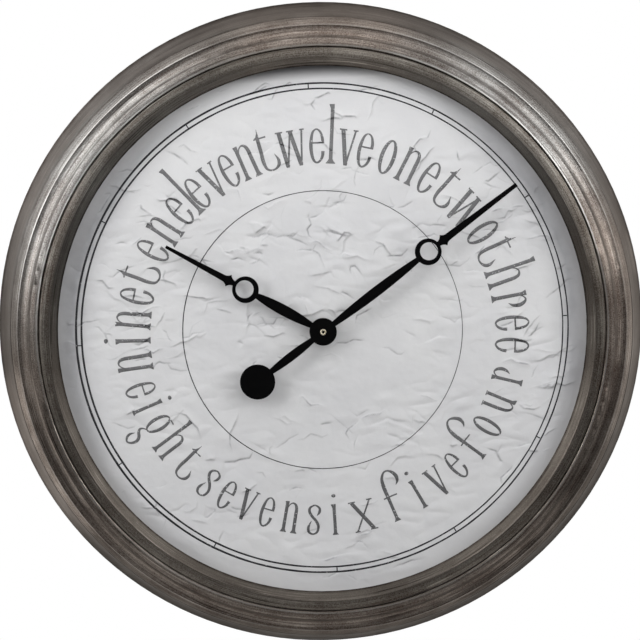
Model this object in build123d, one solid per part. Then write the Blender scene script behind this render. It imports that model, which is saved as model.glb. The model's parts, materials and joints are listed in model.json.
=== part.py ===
from build123d import *

import os
from math import cos, radians, sin

# A round wall clock with a stepped metal frame. Millimetres.
# The clock faces -Y and hangs against the plane Y = 0, with 12 o'clock towards +Z.
# A "height" is a distance in front of the wall, so the point at height h has Y = -h.
# Outlines are drawn as seen from the front, x to the right and y up.

# ---- driving dimensions -------------------------------------------------------------------

# frame, from its outer edge inwards and from the wall forwards
FRAME_RADIUS = 305.0
SHEET = 1.0                 # thickness of the frame's sheet metal
RIM_WIDTH = 12.0            # flat rear rim, which lies on the wall
RIM_ROLL = 1.6              # bend between the rim and the flared side
FLARE_WIDTH = 14.4          # flared side, up to the groove
FLARE_HEIGHT = 39.6
FLARE_HOLLOW = 1.2
GROOVE_DEPTH = 1.0
GROOVE_SIDE = 0.7
BEAD_WIDTH = 7.2            # sloping bead between the groove and the ridge
BEAD_RISE = 11.2
BEAD_BULGE = 0.7
RIDGE_EDGE = 0.7
COVE_WIDTH = 12.4           # hollow band between the ridge and the step
COVE_RISE = 5.8
COVE_HOLLOW = 2.2
STEP_EDGE = 0.6
STEP_RISE = 0.8
BAND_WIDTH = 7.6            # rounded band between the step and the seam
BAND_DROP = 0.5
BAND_BULGE = 0.8
SEAM_EDGE = 0.6
SEAM_DEPTH = 3.4            # how far both sheets turn down at the seam
SEAM_GAP = 0.8
SHELF_WIDTH = 5.0           # flange of the bezel under the seam
BEZEL_BAND_WIDTH = 10.2     # front band of the bezel, from the seam to the crest
BEZEL_BULGE = 0.5
CREST_EDGE = 0.7
SLOPE_WIDTH = 7.6           # slope from the crest down to the lip
SLOPE_DROP = 8.3
SLOPE_BULGE = 0.5
LIP_EDGE = 0.5
THROAT_WIDTH = 2.9          # how far the bezel's inner wall runs back outwards
LIP_STAND = 11.6            # lip in front of the dial

# dial
PAPER_THICKNESS = 0.4
BOARD_THICKNESS = 5.0
BOARD_LAP = 8.4             # how far the board reaches out behind the bezel
PAPER_MARGIN = 0.5
BOARD_HOLE_CLEARANCE = 0.2

# clips that hold the board in the bezel, and their screws
CLIP_COUNT = 6
CLIP_WIDTH = 14.0
CLIP_SHEET = 1.0
CLIP_REACH = 9.0            # how far a clip laps over the back of the board
CLIP_CLEARANCE = 0.6
CLIP_FOOT = 8.0
FLANGE_MARGIN = 0.4         # bezel's flange beyond the clip's foot
SCREW_RADIUS = 1.5
SCREW_HEAD_RADIUS = 2.7
SCREW_HEAD = 1.8
SCREW_POINT = 3.0           # how far a screw shows in front of the bezel's flange

# hanger plate with its keyhole
HANGER_SHEET = 1.5
HANGER_WIDTH = 46.0
HANGER_LENGTH = 41.5
HANGER_CORNER = 3.0
HANGER_EDGE_GAP = 5.5       # from the frame's edge to the top of the plate
HANGER_FOLD = 6.0           # depth of the stiffening folds along its sides
HANGER_FOLD_GAP = 3.0
KEYHOLE_DROP = 29.5         # from the top of the plate to the round hole
KEYHOLE_RADIUS = 4.5
KEYHOLE_SLOT_RADIUS = 2.2
KEYHOLE_SLOT_RISE = 10.0
RIVET_RADIUS = 1.6
RIVET_HEAD_RADIUS = 3.2
RIVET_HEAD = 1.3
RIVET_INSET = 8.0           # from the plate's sides
RIVET_DROP = 4.0            # from the plate's top

# AA battery and its contacts
CELL_RADIUS = 7.1
CELL_LENGTH = 49.2
CELL_CHAMFER = 0.5
NUB_RADIUS = 2.7
NUB_LENGTH = 1.3
CONTACT_SHEET = 0.4
CONTACT_WIDTH = 8.0
CONTACT_TAIL = 5.0          # contact plate behind the cell's axis
SPRING_ROOM = 1.7           # for the sprung tongue at the negative end
SPRING_REACH = 4.6
TONGUE_WIDTH = 5.0
TONGUE_THICKNESS = 0.5
CRADLE_WIDTH = 2.0
CRADLE_SPREAD = 30.0        # between the two ribs that the cell lies on
CRADLE_REACH = 5.0          # how far the ribs come back along the cell
CRADLE_CLEARANCE = 0.1

# movement case, bushing and washers
CASE_WALL = 1.5
CASE_CORNER = 4.0
REAR_HALF_DEPTH = 8.8
BAY_CLEARANCE = 0.4
CELL_RECESS = 0.2
THUMB_NOTCH = 7.0
BUSHING_RADIUS = 4.0
BUSHING_BORE = 2.55
BUSHING_STAND = 6.0         # how far the bushing stands in front of the dial
BUSHING_FLANGE_RADIUS = 5.6
BUSHING_FLANGE = 0.8
BUSHING_CHAMFER = 0.4
CUSHION_RADIUS = 11.0
CUSHION_THICKNESS = 0.8
WASHER_RADIUS = 8.0
WASHER_THICKNESS = 0.5
WASHER_CLEARANCE = 0.1
NUT_FLATS = 12.0
NUT_THICKNESS = 2.2

# going train and motion work: teeth of each wheel and of the pinion it drives or follows
CENTRE_TEETH, THIRD_PINION_TEETH, CENTRE_MODULE = 48, 6, 0.33
THIRD_TEETH, FOURTH_PINION_TEETH, THIRD_MODULE = 45, 6, 0.25
FOURTH_TEETH, STEP_PINION_TEETH, FOURTH_MODULE = 36, 6, 0.30
STEP_TEETH, ROTOR_PINION_TEETH, STEP_MODULE = 30, 6, 0.25
CANNON_TEETH, MOTION_TEETH, MOTION_MODULE = 12, 36, 0.40
MOTION_PINION_TEETH, HOUR_TEETH, KNOB_TEETH = 10, 40, 12
# share of the module above and below the pitch circle, and of the pitch at root and tip
ADDENDUM, DEDENDUM = 0.85, 1.15
ROOT_SHARE, TIP_SHARE = 0.52, 0.20
# direction from each wheel to its mate, degrees counter-clockwise from +X
THIRD_BEARING = 130.0
FOURTH_BEARING = 50.0
STEP_BEARING = 10.0
ROTOR_BEARING = -10.0
MOTION_BEARING = 0.0
KNOB_BEARING = -20.0
WHEEL_THICKNESS = 1.0
PINION_LAP = 0.15           # how far a pinion passes each face of its mate
FLANGE_GAP = 0.3            # levels: from the bushing's flange to the hour wheel
MOTION_GAP = 0.3
CENTRE_GAP = 0.8
THIRD_GAP = 1.1
FOURTH_GAP = 1.0
STEP_GAP = 0.9
MAGNET_GAP = 1.2
ARBOR_RADIUS = 0.4
RUNNING_CLEARANCE = 0.05
PIVOT_DEPTH = 0.8
PIVOT_END_GAP = 0.2

# setting knob on the back
KNOB_RADIUS = 5.0
KNOB_THICKNESS = 2.6
KNOB_RIBS = 24
KNOB_RIB_DEPTH = 0.45
KNOB_SEAT = 1.6             # how far the shaft reaches into the knob
KNOB_STAND = 0.4            # between the knob and the back of the case
KNOB_SHAFT_RADIUS = 1.3
KNOB_PIVOT_RADIUS = 0.8

# stepping motor and circuit
MAGNET_RADIUS = 2.4
MAGNET_THICKNESS = 1.8
STATOR_THICKNESS = 0.9
STATOR_LIFT = 0.4           # stator in front of the magnet's rear face
STATOR_HOLE_RADIUS = 2.75
STATOR_RIM = 0.35           # thin neck beside the rotor's hole, clear of the step wheel
STATOR_FOOT = 3.8           # stator below the rotor's axis
STATOR_EDGE_GAP = 2.3       # stator from the chamber's walls
STATOR_ARM = 3.5            # width of its two arms
STATOR_NECK = 4.4           # from the rotor's axis to the window
COIL_RADIUS = 2.6
COIL_CHEEK = 0.6
COIL_CHEEK_RIM = 0.4
COIL_INSET = 3.5            # from the stator's outer edge to the coil's axis
COIL_END_GAP = 0.2
CORE_WIDTH = 2.4
CORE_INSET = 0.8
POST_RADIUS = 1.0
POST_HEIGHT = 1.0
POST_INSET = 1.6
PCB_WIDTH = 13.0
PCB_LENGTH = 18.5
PCB_EDGE_GAP = 0.8
PCB_THICKNESS = 1.0
CHIP_RADIUS = 2.6
CHIP_HEIGHT = 1.3
CHIP_INSET = 6.0
CRYSTAL_RADIUS = 1.0
CRYSTAL_LENGTH = 6.0
CRYSTAL_INSET = 5.0

# arbor and pipe that carry the hands
PIPE_RADIUS = 2.5
PIPE_STAND = 1.0            # pipe beyond the hour hand
ARBOR_UPPER_RADIUS = 1.6
ARBOR_LOWER_RADIUS = 1.0
ARBOR_FLAT = 2.4            # across the two flats that drive the minute hand
COLLET_RADIUS = 4.2
COLLET_THICKNESS = 1.4
COLLET_GAP = 0.6            # between the bushing and the hour hand's collet
HAND_GAP = 2.7              # between the hour hand and the minute hand
STUD_RADIUS = 1.15
STUD_LENGTH = 1.6
HAND_NUT_RADIUS = 2.95
HAND_NUT_THICKNESS = 2.0
HAND_NUT_CHAMFER = 0.5

# hands
HAND_SHEET = 1.2
HUB_RADIUS = 12.7
RING_RADIUS = 12.4
RING_HOLE_RADIUS = 8.35
RING_HOLE_OFFSET = 0.9      # the ring is thinner on the side of the tip
BARB_HALF_WIDTH = 6.1       # barbed collar beyond the ring
BARB_OFFSET = 5.4
BARB_LENGTH = 6.0
NECK_HALF_WIDTH = 2.3
ARM_END_HALF_WIDTH = 2.4
ARM_LAP = 2.0               # how far an arm runs into the hub, the ring or the tail
MINUTE_TIP_MARGIN = 20.6    # between the minute hand's tip and the lip
MINUTE_RING_AT = 122.5
MINUTE_SHAFT_HALF_WIDTH = 3.4
MINUTE_TIP_HALF_WIDTH = 1.8
MINUTE_ARM_HALF_WIDTH = 4.7
TAIL_AT = 76.8              # centre of the minute hand's round tail
TAIL_RADIUS = 16.4
TAIL_ARM_HALF_WIDTH = 4.1
HOUR_LENGTH = 165.8
HOUR_RING_AT = 82.0
HOUR_SHAFT_HALF_WIDTH = 3.0
HOUR_TIP_HALF_WIDTH = 1.4
HOUR_ARM_HALF_WIDTH = 5.1
MINUTE_ANGLE = 56.0         # at rest, clockwise from 12
HOUR_ANGLE = 302.0

CUT = 1.0                   # how far a cutting tool passes the faces it cuts

# ---- sizes that follow from them ------------------------------------------------------------

# frame
groove_radius = FRAME_RADIUS - FLARE_WIDTH
ridge_radius = groove_radius - BEAD_WIDTH
step_radius = ridge_radius - COVE_WIDTH
seam_radius = step_radius - BAND_WIDTH
crest_radius = seam_radius - BEZEL_BAND_WIDTH
lip_radius = crest_radius - SLOPE_WIDTH
throat_radius = lip_radius + THROAT_WIDTH
ridge_height = FLARE_HEIGHT + BEAD_RISE
step_height = ridge_height + COVE_RISE + STEP_RISE
crown_height = step_height - BAND_DROP
seam_foot = crown_height - SEAM_DEPTH
lip_height = crown_height - SLOPE_DROP

# dial, clips and movement, from front to back
dial_height = lip_height - LIP_STAND
board_radius = throat_radius + BOARD_LAP
board_front = dial_height - PAPER_THICKNESS
board_back = board_front - BOARD_THICKNESS
clip_wall = board_radius + CLIP_CLEARANCE
clip_riser = clip_wall + CLIP_SHEET
clip_edge = clip_riser + CLIP_FOOT
screw_at = (clip_riser + CLIP_FOOT / 2, 0)
flange_radius = clip_edge + FLANGE_MARGIN
hanger_top = FRAME_RADIUS - HANGER_EDGE_GAP
keyhole_z = hanger_top - KEYHOLE_DROP

case_front = board_back - CUSHION_THICKNESS
bay_depth = CELL_RECESS + 2 * CELL_RADIUS + CRADLE_CLEARANCE
case_back = case_front - CASE_WALL - bay_depth
case_split = case_back + REAR_HALF_DEPTH
inner_front = case_front - CASE_WALL
inner_back = case_back + CASE_WALL
half_inner = (CELL_LENGTH + NUB_LENGTH + 2 * CONTACT_SHEET + SPRING_ROOM) / 2
half_case = half_inner + CASE_WALL
bay_top = -half_inner + 2 * (CELL_RADIUS + BAY_CLEARANCE)
chamber_bottom = bay_top + CASE_WALL
cell_z = -half_inner + CELL_RADIUS + BAY_CLEARANCE
cell_height = case_back + CELL_RECESS + CELL_RADIUS

# levels of the wheels, from the front plate of the case backwards
hour_wheel_top = inner_front - BUSHING_FLANGE - FLANGE_GAP
hour_wheel_low = hour_wheel_top - WHEEL_THICKNESS
motion_top = hour_wheel_low - MOTION_GAP
motion_low = motion_top - WHEEL_THICKNESS
centre_top = motion_low - CENTRE_GAP
centre_low = centre_top - WHEEL_THICKNESS
third_top = centre_low - THIRD_GAP
third_low = third_top - WHEEL_THICKNESS
fourth_top = third_low - FOURTH_GAP
fourth_low = fourth_top - WHEEL_THICKNESS
step_top = fourth_low - STEP_GAP
step_low = step_top - WHEEL_THICKNESS
magnet_low = step_top + MAGNET_GAP
stator_low = magnet_low + STATOR_LIFT
stator_top = stator_low + STATOR_THICKNESS

# hands
bushing_top = dial_height + BUSHING_STAND
collet_low = bushing_top + COLLET_GAP
hour_hand_low = collet_low + COLLET_THICKNESS
hour_hand_top = hour_hand_low + HAND_SHEET
pipe_top = hour_hand_top + PIPE_STAND
minute_hand_low = hour_hand_top + HAND_GAP
minute_hand_top = minute_hand_low + HAND_SHEET
minute_length = lip_radius - MINUTE_TIP_MARGIN

# ---- helpers ----------------------------------------------------------------------------------

SECTION = Plane(origin=(0, 0, 0), x_dir=(1, 0, 0), z_dir=(0, 0, -1))
CENTRE = (0.0, 0.0)


def front(height):
    """The plane in front of the wall at a height, seen from the front."""
    return Plane(origin=(0, -height, 0), x_dir=(1, 0, 0), z_dir=(0, -1, 0))


def slab(outline, low, high):
    """A flat outline between two heights."""
    return extrude(front(low) * outline, amount=high - low)


def disc(radius, low, high, at=CENTRE, bore=0.0):
    """A round plate or rod, with a bore if one is given."""
    outline = Pos(*at) * Circle(radius)
    if bore:
        outline -= Pos(*at) * Circle(bore)
    return slab(outline, low, high)


def block(x_limits, y_limits, low, high, corner=0.0):
    """A block given by its limits as seen from the front."""
    size = (x_limits[1] - x_limits[0], y_limits[1] - y_limits[0])
    outline = RectangleRounded(*size, corner) if corner else Rectangle(*size)
    return slab(Pos(sum(x_limits) / 2, sum(y_limits) / 2) * outline, low, high)


def run_of_edges(start, *runs):
    """Lines to (x, y) points and arcs to (x, y, bulge) points; a bulge is to the right."""
    edges, here = [], start
    for run in runs:
        end = run[:2]
        edges.append(SagittaArc(here, end, -run[2]) if len(run) == 3 else Line(here, end))
        here = end
    return edges


def spun_sheet(start, *runs):
    """A ring of sheet metal from the (radius, height) line of its outer side.

    The sheet's thickness lies to the left of the line.
    """
    line = Wire(run_of_edges(start, *runs))
    section = make_face(line.offset_2d(SHEET, side=Side.LEFT, closed=True))
    return revolve(SECTION * section, Axis.Y, 360)


def turned(shape, angle):
    """A shape turned about the clock's axis, clockwise as seen from the front."""
    return Rot(0, angle, 0) * shape


def beside(origin, distance, bearing):
    """A point at a distance and a bearing from another."""
    across = distance * cos(radians(bearing))
    up = distance * sin(radians(bearing))
    return (origin[0] + across, origin[1] + up)


def front_rim(shape):
    """The outermost circular edge on the front face of a turned piece."""
    circles = shape.edges().filter_by(GeomType.CIRCLE).group_by(Axis.Y)[0]
    return circles.sort_by(SortBy.RADIUS)[-1]


def save(name, shape):
    """Write one sub-part as a STEP file."""
    if isinstance(shape, list):
        shape = Compound(children=shape)
    export_step(shape, f"parts/{name}.step")


# ---- frame ------------------------------------------------------------------------------------


def make_outer_case():
    """The stepped outer ring: rear rim, flared side, bead, cove and rounded band."""
    groove_floor = groove_radius - GROOVE_DEPTH
    ring = spun_sheet(
        (FRAME_RADIUS - RIM_WIDTH, 0),
        (FRAME_RADIUS - RIM_ROLL, 0),
        (FRAME_RADIUS, RIM_ROLL, RIM_ROLL * 0.29),
        (groove_radius, FLARE_HEIGHT - GROOVE_SIDE, -FLARE_HOLLOW),
        (groove_floor, FLARE_HEIGHT),
        (groove_floor + GROOVE_SIDE / 2, FLARE_HEIGHT + GROOVE_SIDE),
        (ridge_radius, ridge_height - RIDGE_EDGE, BEAD_BULGE),
        (ridge_radius - RIDGE_EDGE, ridge_height),
        (step_radius + STEP_EDGE, step_height - STEP_RISE, -COVE_HOLLOW),
        (step_radius, step_height),
        (seam_radius + SEAM_EDGE, crown_height, BAND_BULGE),
        (seam_radius, crown_height - SEAM_EDGE),
        (seam_radius, seam_foot),
    )
    for place in rivet_places():
        ring -= disc(RIVET_RADIUS, -CUT, SHEET + CUT, at=place)
    return ring


def make_inner_bezel():
    """The front band, the slope down to the lip and the wall that presses on the dial."""
    edge = seam_radius - SEAM_GAP
    ring = spun_sheet(
        (seam_radius + SHELF_WIDTH, seam_foot),
        (edge, seam_foot),
        (edge, crown_height - SEAM_EDGE),
        (edge - SEAM_EDGE, crown_height),
        (crest_radius, crown_height, BEZEL_BULGE),
        (crest_radius - CREST_EDGE, crown_height - CREST_EDGE),
        (lip_radius + LIP_EDGE, lip_height + LIP_EDGE, SLOPE_BULGE),
        (lip_radius, lip_height),
        (throat_radius, dial_height),
        (flange_radius, dial_height),
    )
    for angle in clip_angles():
        hole = disc(SCREW_RADIUS, dial_height - CUT, dial_height + SHEET + CUT, at=screw_at)
        ring -= turned(hole, angle)
    return ring


# ---- dial and what holds it -----------------------------------------------------------------


def make_dial_board():
    hole = BUSHING_RADIUS + BOARD_HOLE_CLEARANCE
    return disc(board_radius, board_back, board_front, bore=hole)


def make_dial_paper():
    hole = BUSHING_RADIUS + BOARD_HOLE_CLEARANCE
    return disc(board_radius - PAPER_MARGIN, board_front, dial_height, bore=hole)


def clip_angles():
    return [360 / CLIP_COUNT * (k + 0.5) for k in range(CLIP_COUNT)]


def make_board_clips():
    """Z-shaped clips: foot on the bezel's flange, riser past the board, lap over its back."""
    section = Polygon(
        (board_radius - CLIP_REACH, board_back),
        (clip_wall, board_back),
        (clip_wall, dial_height),
        (clip_edge, dial_height),
        (clip_edge, dial_height - CLIP_SHEET),
        (clip_riser, dial_height - CLIP_SHEET),
        (clip_riser, board_back - CLIP_SHEET),
        (board_radius - CLIP_REACH, board_back - CLIP_SHEET),
        align=None,
    )
    clip = extrude(SECTION * section, amount=CLIP_WIDTH / 2, both=True)
    clip -= disc(SCREW_RADIUS, dial_height - CLIP_SHEET - CUT, dial_height + CUT, at=screw_at)
    return [turned(clip, angle) for angle in clip_angles()]


def make_clip_screws():
    head_top = dial_height - CLIP_SHEET
    screw = disc(SCREW_HEAD_RADIUS, head_top - SCREW_HEAD, head_top, at=screw_at)
    screw += disc(SCREW_RADIUS, head_top, dial_height + SHEET + SCREW_POINT, at=screw_at)
    return [turned(screw, angle) for angle in clip_angles()]


# ---- hanger -----------------------------------------------------------------------------------


def rivet_places():
    x = HANGER_WIDTH / 2 - RIVET_INSET
    z = hanger_top - RIVET_DROP
    return [(-x, z), (x, z)]


def make_hanger_plate():
    """A folded plate riveted inside the rear rim, with a keyhole for a wall screw."""
    low = SHEET
    high = low + HANGER_SHEET
    half = HANGER_WIDTH / 2
    bottom = hanger_top - HANGER_LENGTH
    fold_y = (bottom + HANGER_FOLD_GAP, FRAME_RADIUS - RIM_WIDTH - HANGER_FOLD_GAP)
    plate = block((-half, half), (bottom, hanger_top), low, high, HANGER_CORNER)
    plate += block((-half, HANGER_SHEET - half), fold_y, low, low + HANGER_FOLD)
    plate += block((half - HANGER_SHEET, half), fold_y, low, low + HANGER_FOLD)
    slot = SlotOverall(
        KEYHOLE_SLOT_RISE + 2 * KEYHOLE_SLOT_RADIUS, 2 * KEYHOLE_SLOT_RADIUS, rotation=90
    )
    keyhole = Pos(0, keyhole_z) * Circle(KEYHOLE_RADIUS)
    keyhole += Pos(0, keyhole_z + KEYHOLE_SLOT_RISE / 2) * slot
    plate -= slab(keyhole, low - CUT, high + CUT)
    for place in rivet_places():
        plate -= disc(RIVET_RADIUS, low - CUT, high + CUT, at=place)
    return plate


def make_hanger_rivets():
    """Flush on the wall side, with a low head inside the frame."""
    seat = SHEET + HANGER_SHEET
    rivets = []
    for place in rivet_places():
        shank = disc(RIVET_RADIUS, 0, seat, at=place)
        rivets.append(shank + disc(RIVET_HEAD_RADIUS, seat, seat + RIVET_HEAD, at=place))
    return rivets


# ---- wheels -----------------------------------------------------------------------------------


def toothed(teeth, module, phase):
    """Outline of a wheel about the origin, with one tooth centred on the phase angle."""
    pitch_radius = module * teeth / 2
    tip = pitch_radius + ADDENDUM * module
    root = pitch_radius - DEDENDUM * module
    step = 360 / teeth
    root_turn = ROOT_SHARE * step / 2
    tip_turn = TIP_SHARE * step / 2
    points = []
    for k in range(teeth):
        middle = phase + k * step
        points.append(beside(CENTRE, root, middle - root_turn))
        points.append(beside(CENTRE, tip, middle - tip_turn))
        points.append(beside(CENTRE, tip, middle + tip_turn))
        points.append(beside(CENTRE, root, middle + root_turn))
    return Polygon(*points, align=None)


def gear(teeth, module, phase, low, high, at=CENTRE, bore=0.0):
    """A toothed wheel between two heights."""
    outline = Pos(*at) * toothed(teeth, module, phase)
    if bore:
        outline -= Pos(*at) * Circle(bore)
    return slab(outline, low, high)


def pinion(teeth, module, phase, low, at):
    """A pinion that passes both faces of the wheel at its level a little."""
    high = low + WHEEL_THICKNESS + PINION_LAP
    return gear(teeth, module, phase, low - PINION_LAP, high, at=at)


def arbor(at):
    """A thin shaft whose ends run in the two plates of the case."""
    return disc(ARBOR_RADIUS, inner_back - PIVOT_DEPTH, inner_front + PIVOT_DEPTH, at=at)


def mate_phase(phase, teeth, mate_teeth, bearing):
    """Phase that puts a gap of the mate opposite a tooth of the wheel."""
    place = (bearing - phase) / (360 / teeth)
    return bearing + 180 - (0.5 - place) * 360 / mate_teeth


def centre_distance(module, teeth, mate_teeth):
    return module * (teeth + mate_teeth) / 2


third_distance = centre_distance(CENTRE_MODULE, CENTRE_TEETH, THIRD_PINION_TEETH)
fourth_distance = centre_distance(THIRD_MODULE, THIRD_TEETH, FOURTH_PINION_TEETH)
step_distance = centre_distance(FOURTH_MODULE, FOURTH_TEETH, STEP_PINION_TEETH)
rotor_distance = centre_distance(STEP_MODULE, STEP_TEETH, ROTOR_PINION_TEETH)
motion_distance = centre_distance(MOTION_MODULE, CANNON_TEETH, MOTION_TEETH)
knob_distance = centre_distance(MOTION_MODULE, MOTION_TEETH, KNOB_TEETH)
hour_module = 2 * motion_distance / (MOTION_PINION_TEETH + HOUR_TEETH)

third_at = beside(CENTRE, third_distance, THIRD_BEARING)
fourth_at = beside(third_at, fourth_distance, FOURTH_BEARING)
step_at = beside(fourth_at, step_distance, STEP_BEARING)
rotor_at = beside(step_at, rotor_distance, ROTOR_BEARING)
motion_at = beside(CENTRE, motion_distance, MOTION_BEARING)
knob_at = beside(motion_at, knob_distance, KNOB_BEARING)

third_pinion_phase = mate_phase(0, CENTRE_TEETH, THIRD_PINION_TEETH, THIRD_BEARING)
fourth_pinion_phase = mate_phase(0, THIRD_TEETH, FOURTH_PINION_TEETH, FOURTH_BEARING)
step_pinion_phase = mate_phase(0, FOURTH_TEETH, STEP_PINION_TEETH, STEP_BEARING)
rotor_pinion_phase = mate_phase(0, STEP_TEETH, ROTOR_PINION_TEETH, ROTOR_BEARING)
motion_phase = mate_phase(0, CANNON_TEETH, MOTION_TEETH, MOTION_BEARING)
motion_pinion_phase = mate_phase(0, HOUR_TEETH, MOTION_PINION_TEETH, MOTION_BEARING)
knob_phase = mate_phase(motion_phase, MOTION_TEETH, KNOB_TEETH, KNOB_BEARING)


def make_third_wheel():
    wheel = gear(THIRD_TEETH, THIRD_MODULE, 0, third_low, third_top, at=third_at)
    wheel += pinion(THIRD_PINION_TEETH, CENTRE_MODULE, third_pinion_phase, centre_low, third_at)
    return wheel + arbor(third_at)


def make_fourth_wheel():
    wheel = gear(FOURTH_TEETH, FOURTH_MODULE, 0, fourth_low, fourth_top, at=fourth_at)
    wheel += pinion(FOURTH_PINION_TEETH, THIRD_MODULE, fourth_pinion_phase, third_low, fourth_at)
    return wheel + arbor(fourth_at)


def make_step_wheel():
    """The wheel between the stepping rotor and the fourth wheel."""
    wheel = gear(STEP_TEETH, STEP_MODULE, 0, step_low, step_top, at=step_at)
    wheel += pinion(STEP_PINION_TEETH, FOURTH_MODULE, step_pinion_phase, fourth_low, step_at)
    return wheel + arbor(step_at)


def make_rotor():
    """Pinion and arbor of the stepping rotor."""
    shaft = pinion(ROTOR_PINION_TEETH, STEP_MODULE, rotor_pinion_phase, step_low, rotor_at)
    return shaft + arbor(rotor_at)


def make_rotor_magnet():
    top = magnet_low + MAGNET_THICKNESS
    return disc(MAGNET_RADIUS, magnet_low, top, at=rotor_at, bore=ARBOR_RADIUS)


def make_motion_wheel():
    """The cannon pinion drives its wheel, and its pinion drives the hour wheel."""
    wheel = gear(MOTION_TEETH, MOTION_MODULE, motion_phase, motion_low, motion_top, at=motion_at)
    levels = (motion_top, hour_wheel_top)
    wheel += gear(MOTION_PINION_TEETH, hour_module, motion_pinion_phase, *levels, at=motion_at)
    return wheel + arbor(motion_at)


def make_hour_wheel():
    """A toothed disc on the pipe that carries the hour hand."""
    wheel = gear(HOUR_TEETH, hour_module, 0, hour_wheel_low, hour_wheel_top)
    wheel += disc(PIPE_RADIUS, hour_wheel_low, pipe_top)
    bore = ARBOR_UPPER_RADIUS + RUNNING_CLEARANCE
    return wheel - disc(bore, hour_wheel_low - CUT, pipe_top + CUT)


def arbor_flats():
    """Round section with two flats, which keep the minute hand from slipping."""
    return Circle(ARBOR_UPPER_RADIUS) & Rectangle(4 * ARBOR_UPPER_RADIUS, ARBOR_FLAT)


def make_minute_arbor():
    """The long shaft: pivot, cannon pinion, body, driving flats and threaded stud."""
    pinion_low = motion_low - PINION_LAP
    shaft = disc(ARBOR_LOWER_RADIUS, inner_back - PIVOT_DEPTH, pinion_low)
    shaft += gear(CANNON_TEETH, MOTION_MODULE, 0, pinion_low, motion_top + PINION_LAP / 2)
    shaft += disc(ARBOR_UPPER_RADIUS, motion_top, minute_hand_low)
    shaft += turned(slab(arbor_flats(), minute_hand_low, minute_hand_top), MINUTE_ANGLE)
    return shaft + disc(STUD_RADIUS, minute_hand_top, minute_hand_top + STUD_LENGTH)


def make_centre_wheel():
    levels = (centre_low, centre_top)
    return gear(CENTRE_TEETH, CENTRE_MODULE, 0, *levels, bore=ARBOR_LOWER_RADIUS)


def make_setting_knob():
    """Knurled knob on the back, pressed on its shaft."""
    top = case_back - KNOB_STAND
    points = []
    for k in range(2 * KNOB_RIBS):
        radius = KNOB_RADIUS - KNOB_RIB_DEPTH * (k % 2)
        points.append(beside(knob_at, radius, 180 / KNOB_RIBS * k))
    knob = slab(Polygon(*points, align=None), top - KNOB_THICKNESS, top)
    return knob - disc(KNOB_SHAFT_RADIUS, top - KNOB_SEAT, top + CUT, at=knob_at)


def make_setting_shaft():
    """Shaft of the knob with the pinion that turns the motion wheel."""
    seat = case_back - KNOB_STAND - KNOB_SEAT
    shaft = disc(KNOB_SHAFT_RADIUS, seat, motion_low, at=knob_at)
    shaft += pinion(KNOB_TEETH, MOTION_MODULE, knob_phase, motion_low, knob_at)
    return shaft + disc(KNOB_PIVOT_RADIUS, motion_top, inner_front + PIVOT_DEPTH, at=knob_at)


# ---- movement case and what is fixed in it ----------------------------------------------------

chamber = ((-half_inner, half_inner), (chamber_bottom, half_inner))
bay = ((-half_inner, half_inner), (-half_inner, bay_top))
case_outline = ((-half_case, half_case), (-half_case, half_case))


def bearing(radius, low, high, at):
    """A hole in which a shaft of this radius runs."""
    return disc(radius + RUNNING_CLEARANCE, low, high, at=at)


def make_case_rear():
    """Rear half: the gear chamber's back and the battery bay, which is open behind."""
    shell = block(*case_outline, case_back, case_split, CASE_CORNER)
    shell -= block(*chamber, inner_back, case_split + CUT)
    shell -= block(*bay, case_back - CUT, case_split + CUT)
    shell -= disc(THUMB_NOTCH, case_back - CUT, cell_height, at=(0, -half_case))
    deep = inner_back - PIVOT_DEPTH - PIVOT_END_GAP
    for at in (third_at, fourth_at, step_at, rotor_at, motion_at):
        shell -= bearing(ARBOR_RADIUS, deep, inner_back + CUT, at)
    shell -= bearing(ARBOR_LOWER_RADIUS, deep, inner_back + CUT, CENTRE)
    shell -= bearing(KNOB_SHAFT_RADIUS, case_back - CUT, inner_back + CUT, knob_at)
    for place in board_posts():
        shell += disc(POST_RADIUS, inner_back, inner_back + POST_HEIGHT, at=place)
    for place in stator_posts():
        shell += disc(POST_RADIUS, inner_back, stator_low, at=place)
    return shell


def make_case_front():
    """Front half: plate with the bushing's seat, side walls and the battery cradle."""
    shell = block(*case_outline, case_split, case_front, CASE_CORNER)
    shell -= block(*chamber, case_split - CUT, inner_front)
    shell -= block(*bay, case_split - CUT, inner_front)
    rib_low = cell_height + CELL_RADIUS - CRADLE_REACH
    for x in (-CRADLE_SPREAD / 2, CRADLE_SPREAD / 2):
        width = (x - CRADLE_WIDTH / 2, x + CRADLE_WIDTH / 2)
        shell += block(width, bay[1], rib_low, inner_front)
    shell -= rod(CELL_RADIUS + CRADLE_CLEARANCE, -half_inner, half_inner)
    shell -= disc(BUSHING_RADIUS, inner_front - CUT, case_front + CUT)
    deep = inner_front + PIVOT_DEPTH + PIVOT_END_GAP
    for at in (third_at, fourth_at, step_at, rotor_at, motion_at):
        shell -= bearing(ARBOR_RADIUS, inner_front - CUT, deep, at)
    return shell - bearing(KNOB_PIVOT_RADIUS, inner_front - CUT, deep, knob_at)


def make_threaded_bushing():
    """Brass tube pressed into the front plate, with a flange inside the case."""
    low = inner_front - BUSHING_FLANGE
    tube = disc(BUSHING_FLANGE_RADIUS, low, inner_front)
    tube += disc(BUSHING_RADIUS, inner_front, bushing_top)
    tube -= disc(BUSHING_BORE, low - CUT, bushing_top + CUT)
    return chamfer(front_rim(tube), BUSHING_CHAMFER)


def make_cushion_washer():
    return disc(CUSHION_RADIUS, case_front, board_back, bore=BUSHING_RADIUS)


def make_fixing_washer():
    top = dial_height + WASHER_THICKNESS
    return disc(WASHER_RADIUS, dial_height, top, bore=BUSHING_RADIUS + WASHER_CLEARANCE)


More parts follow.
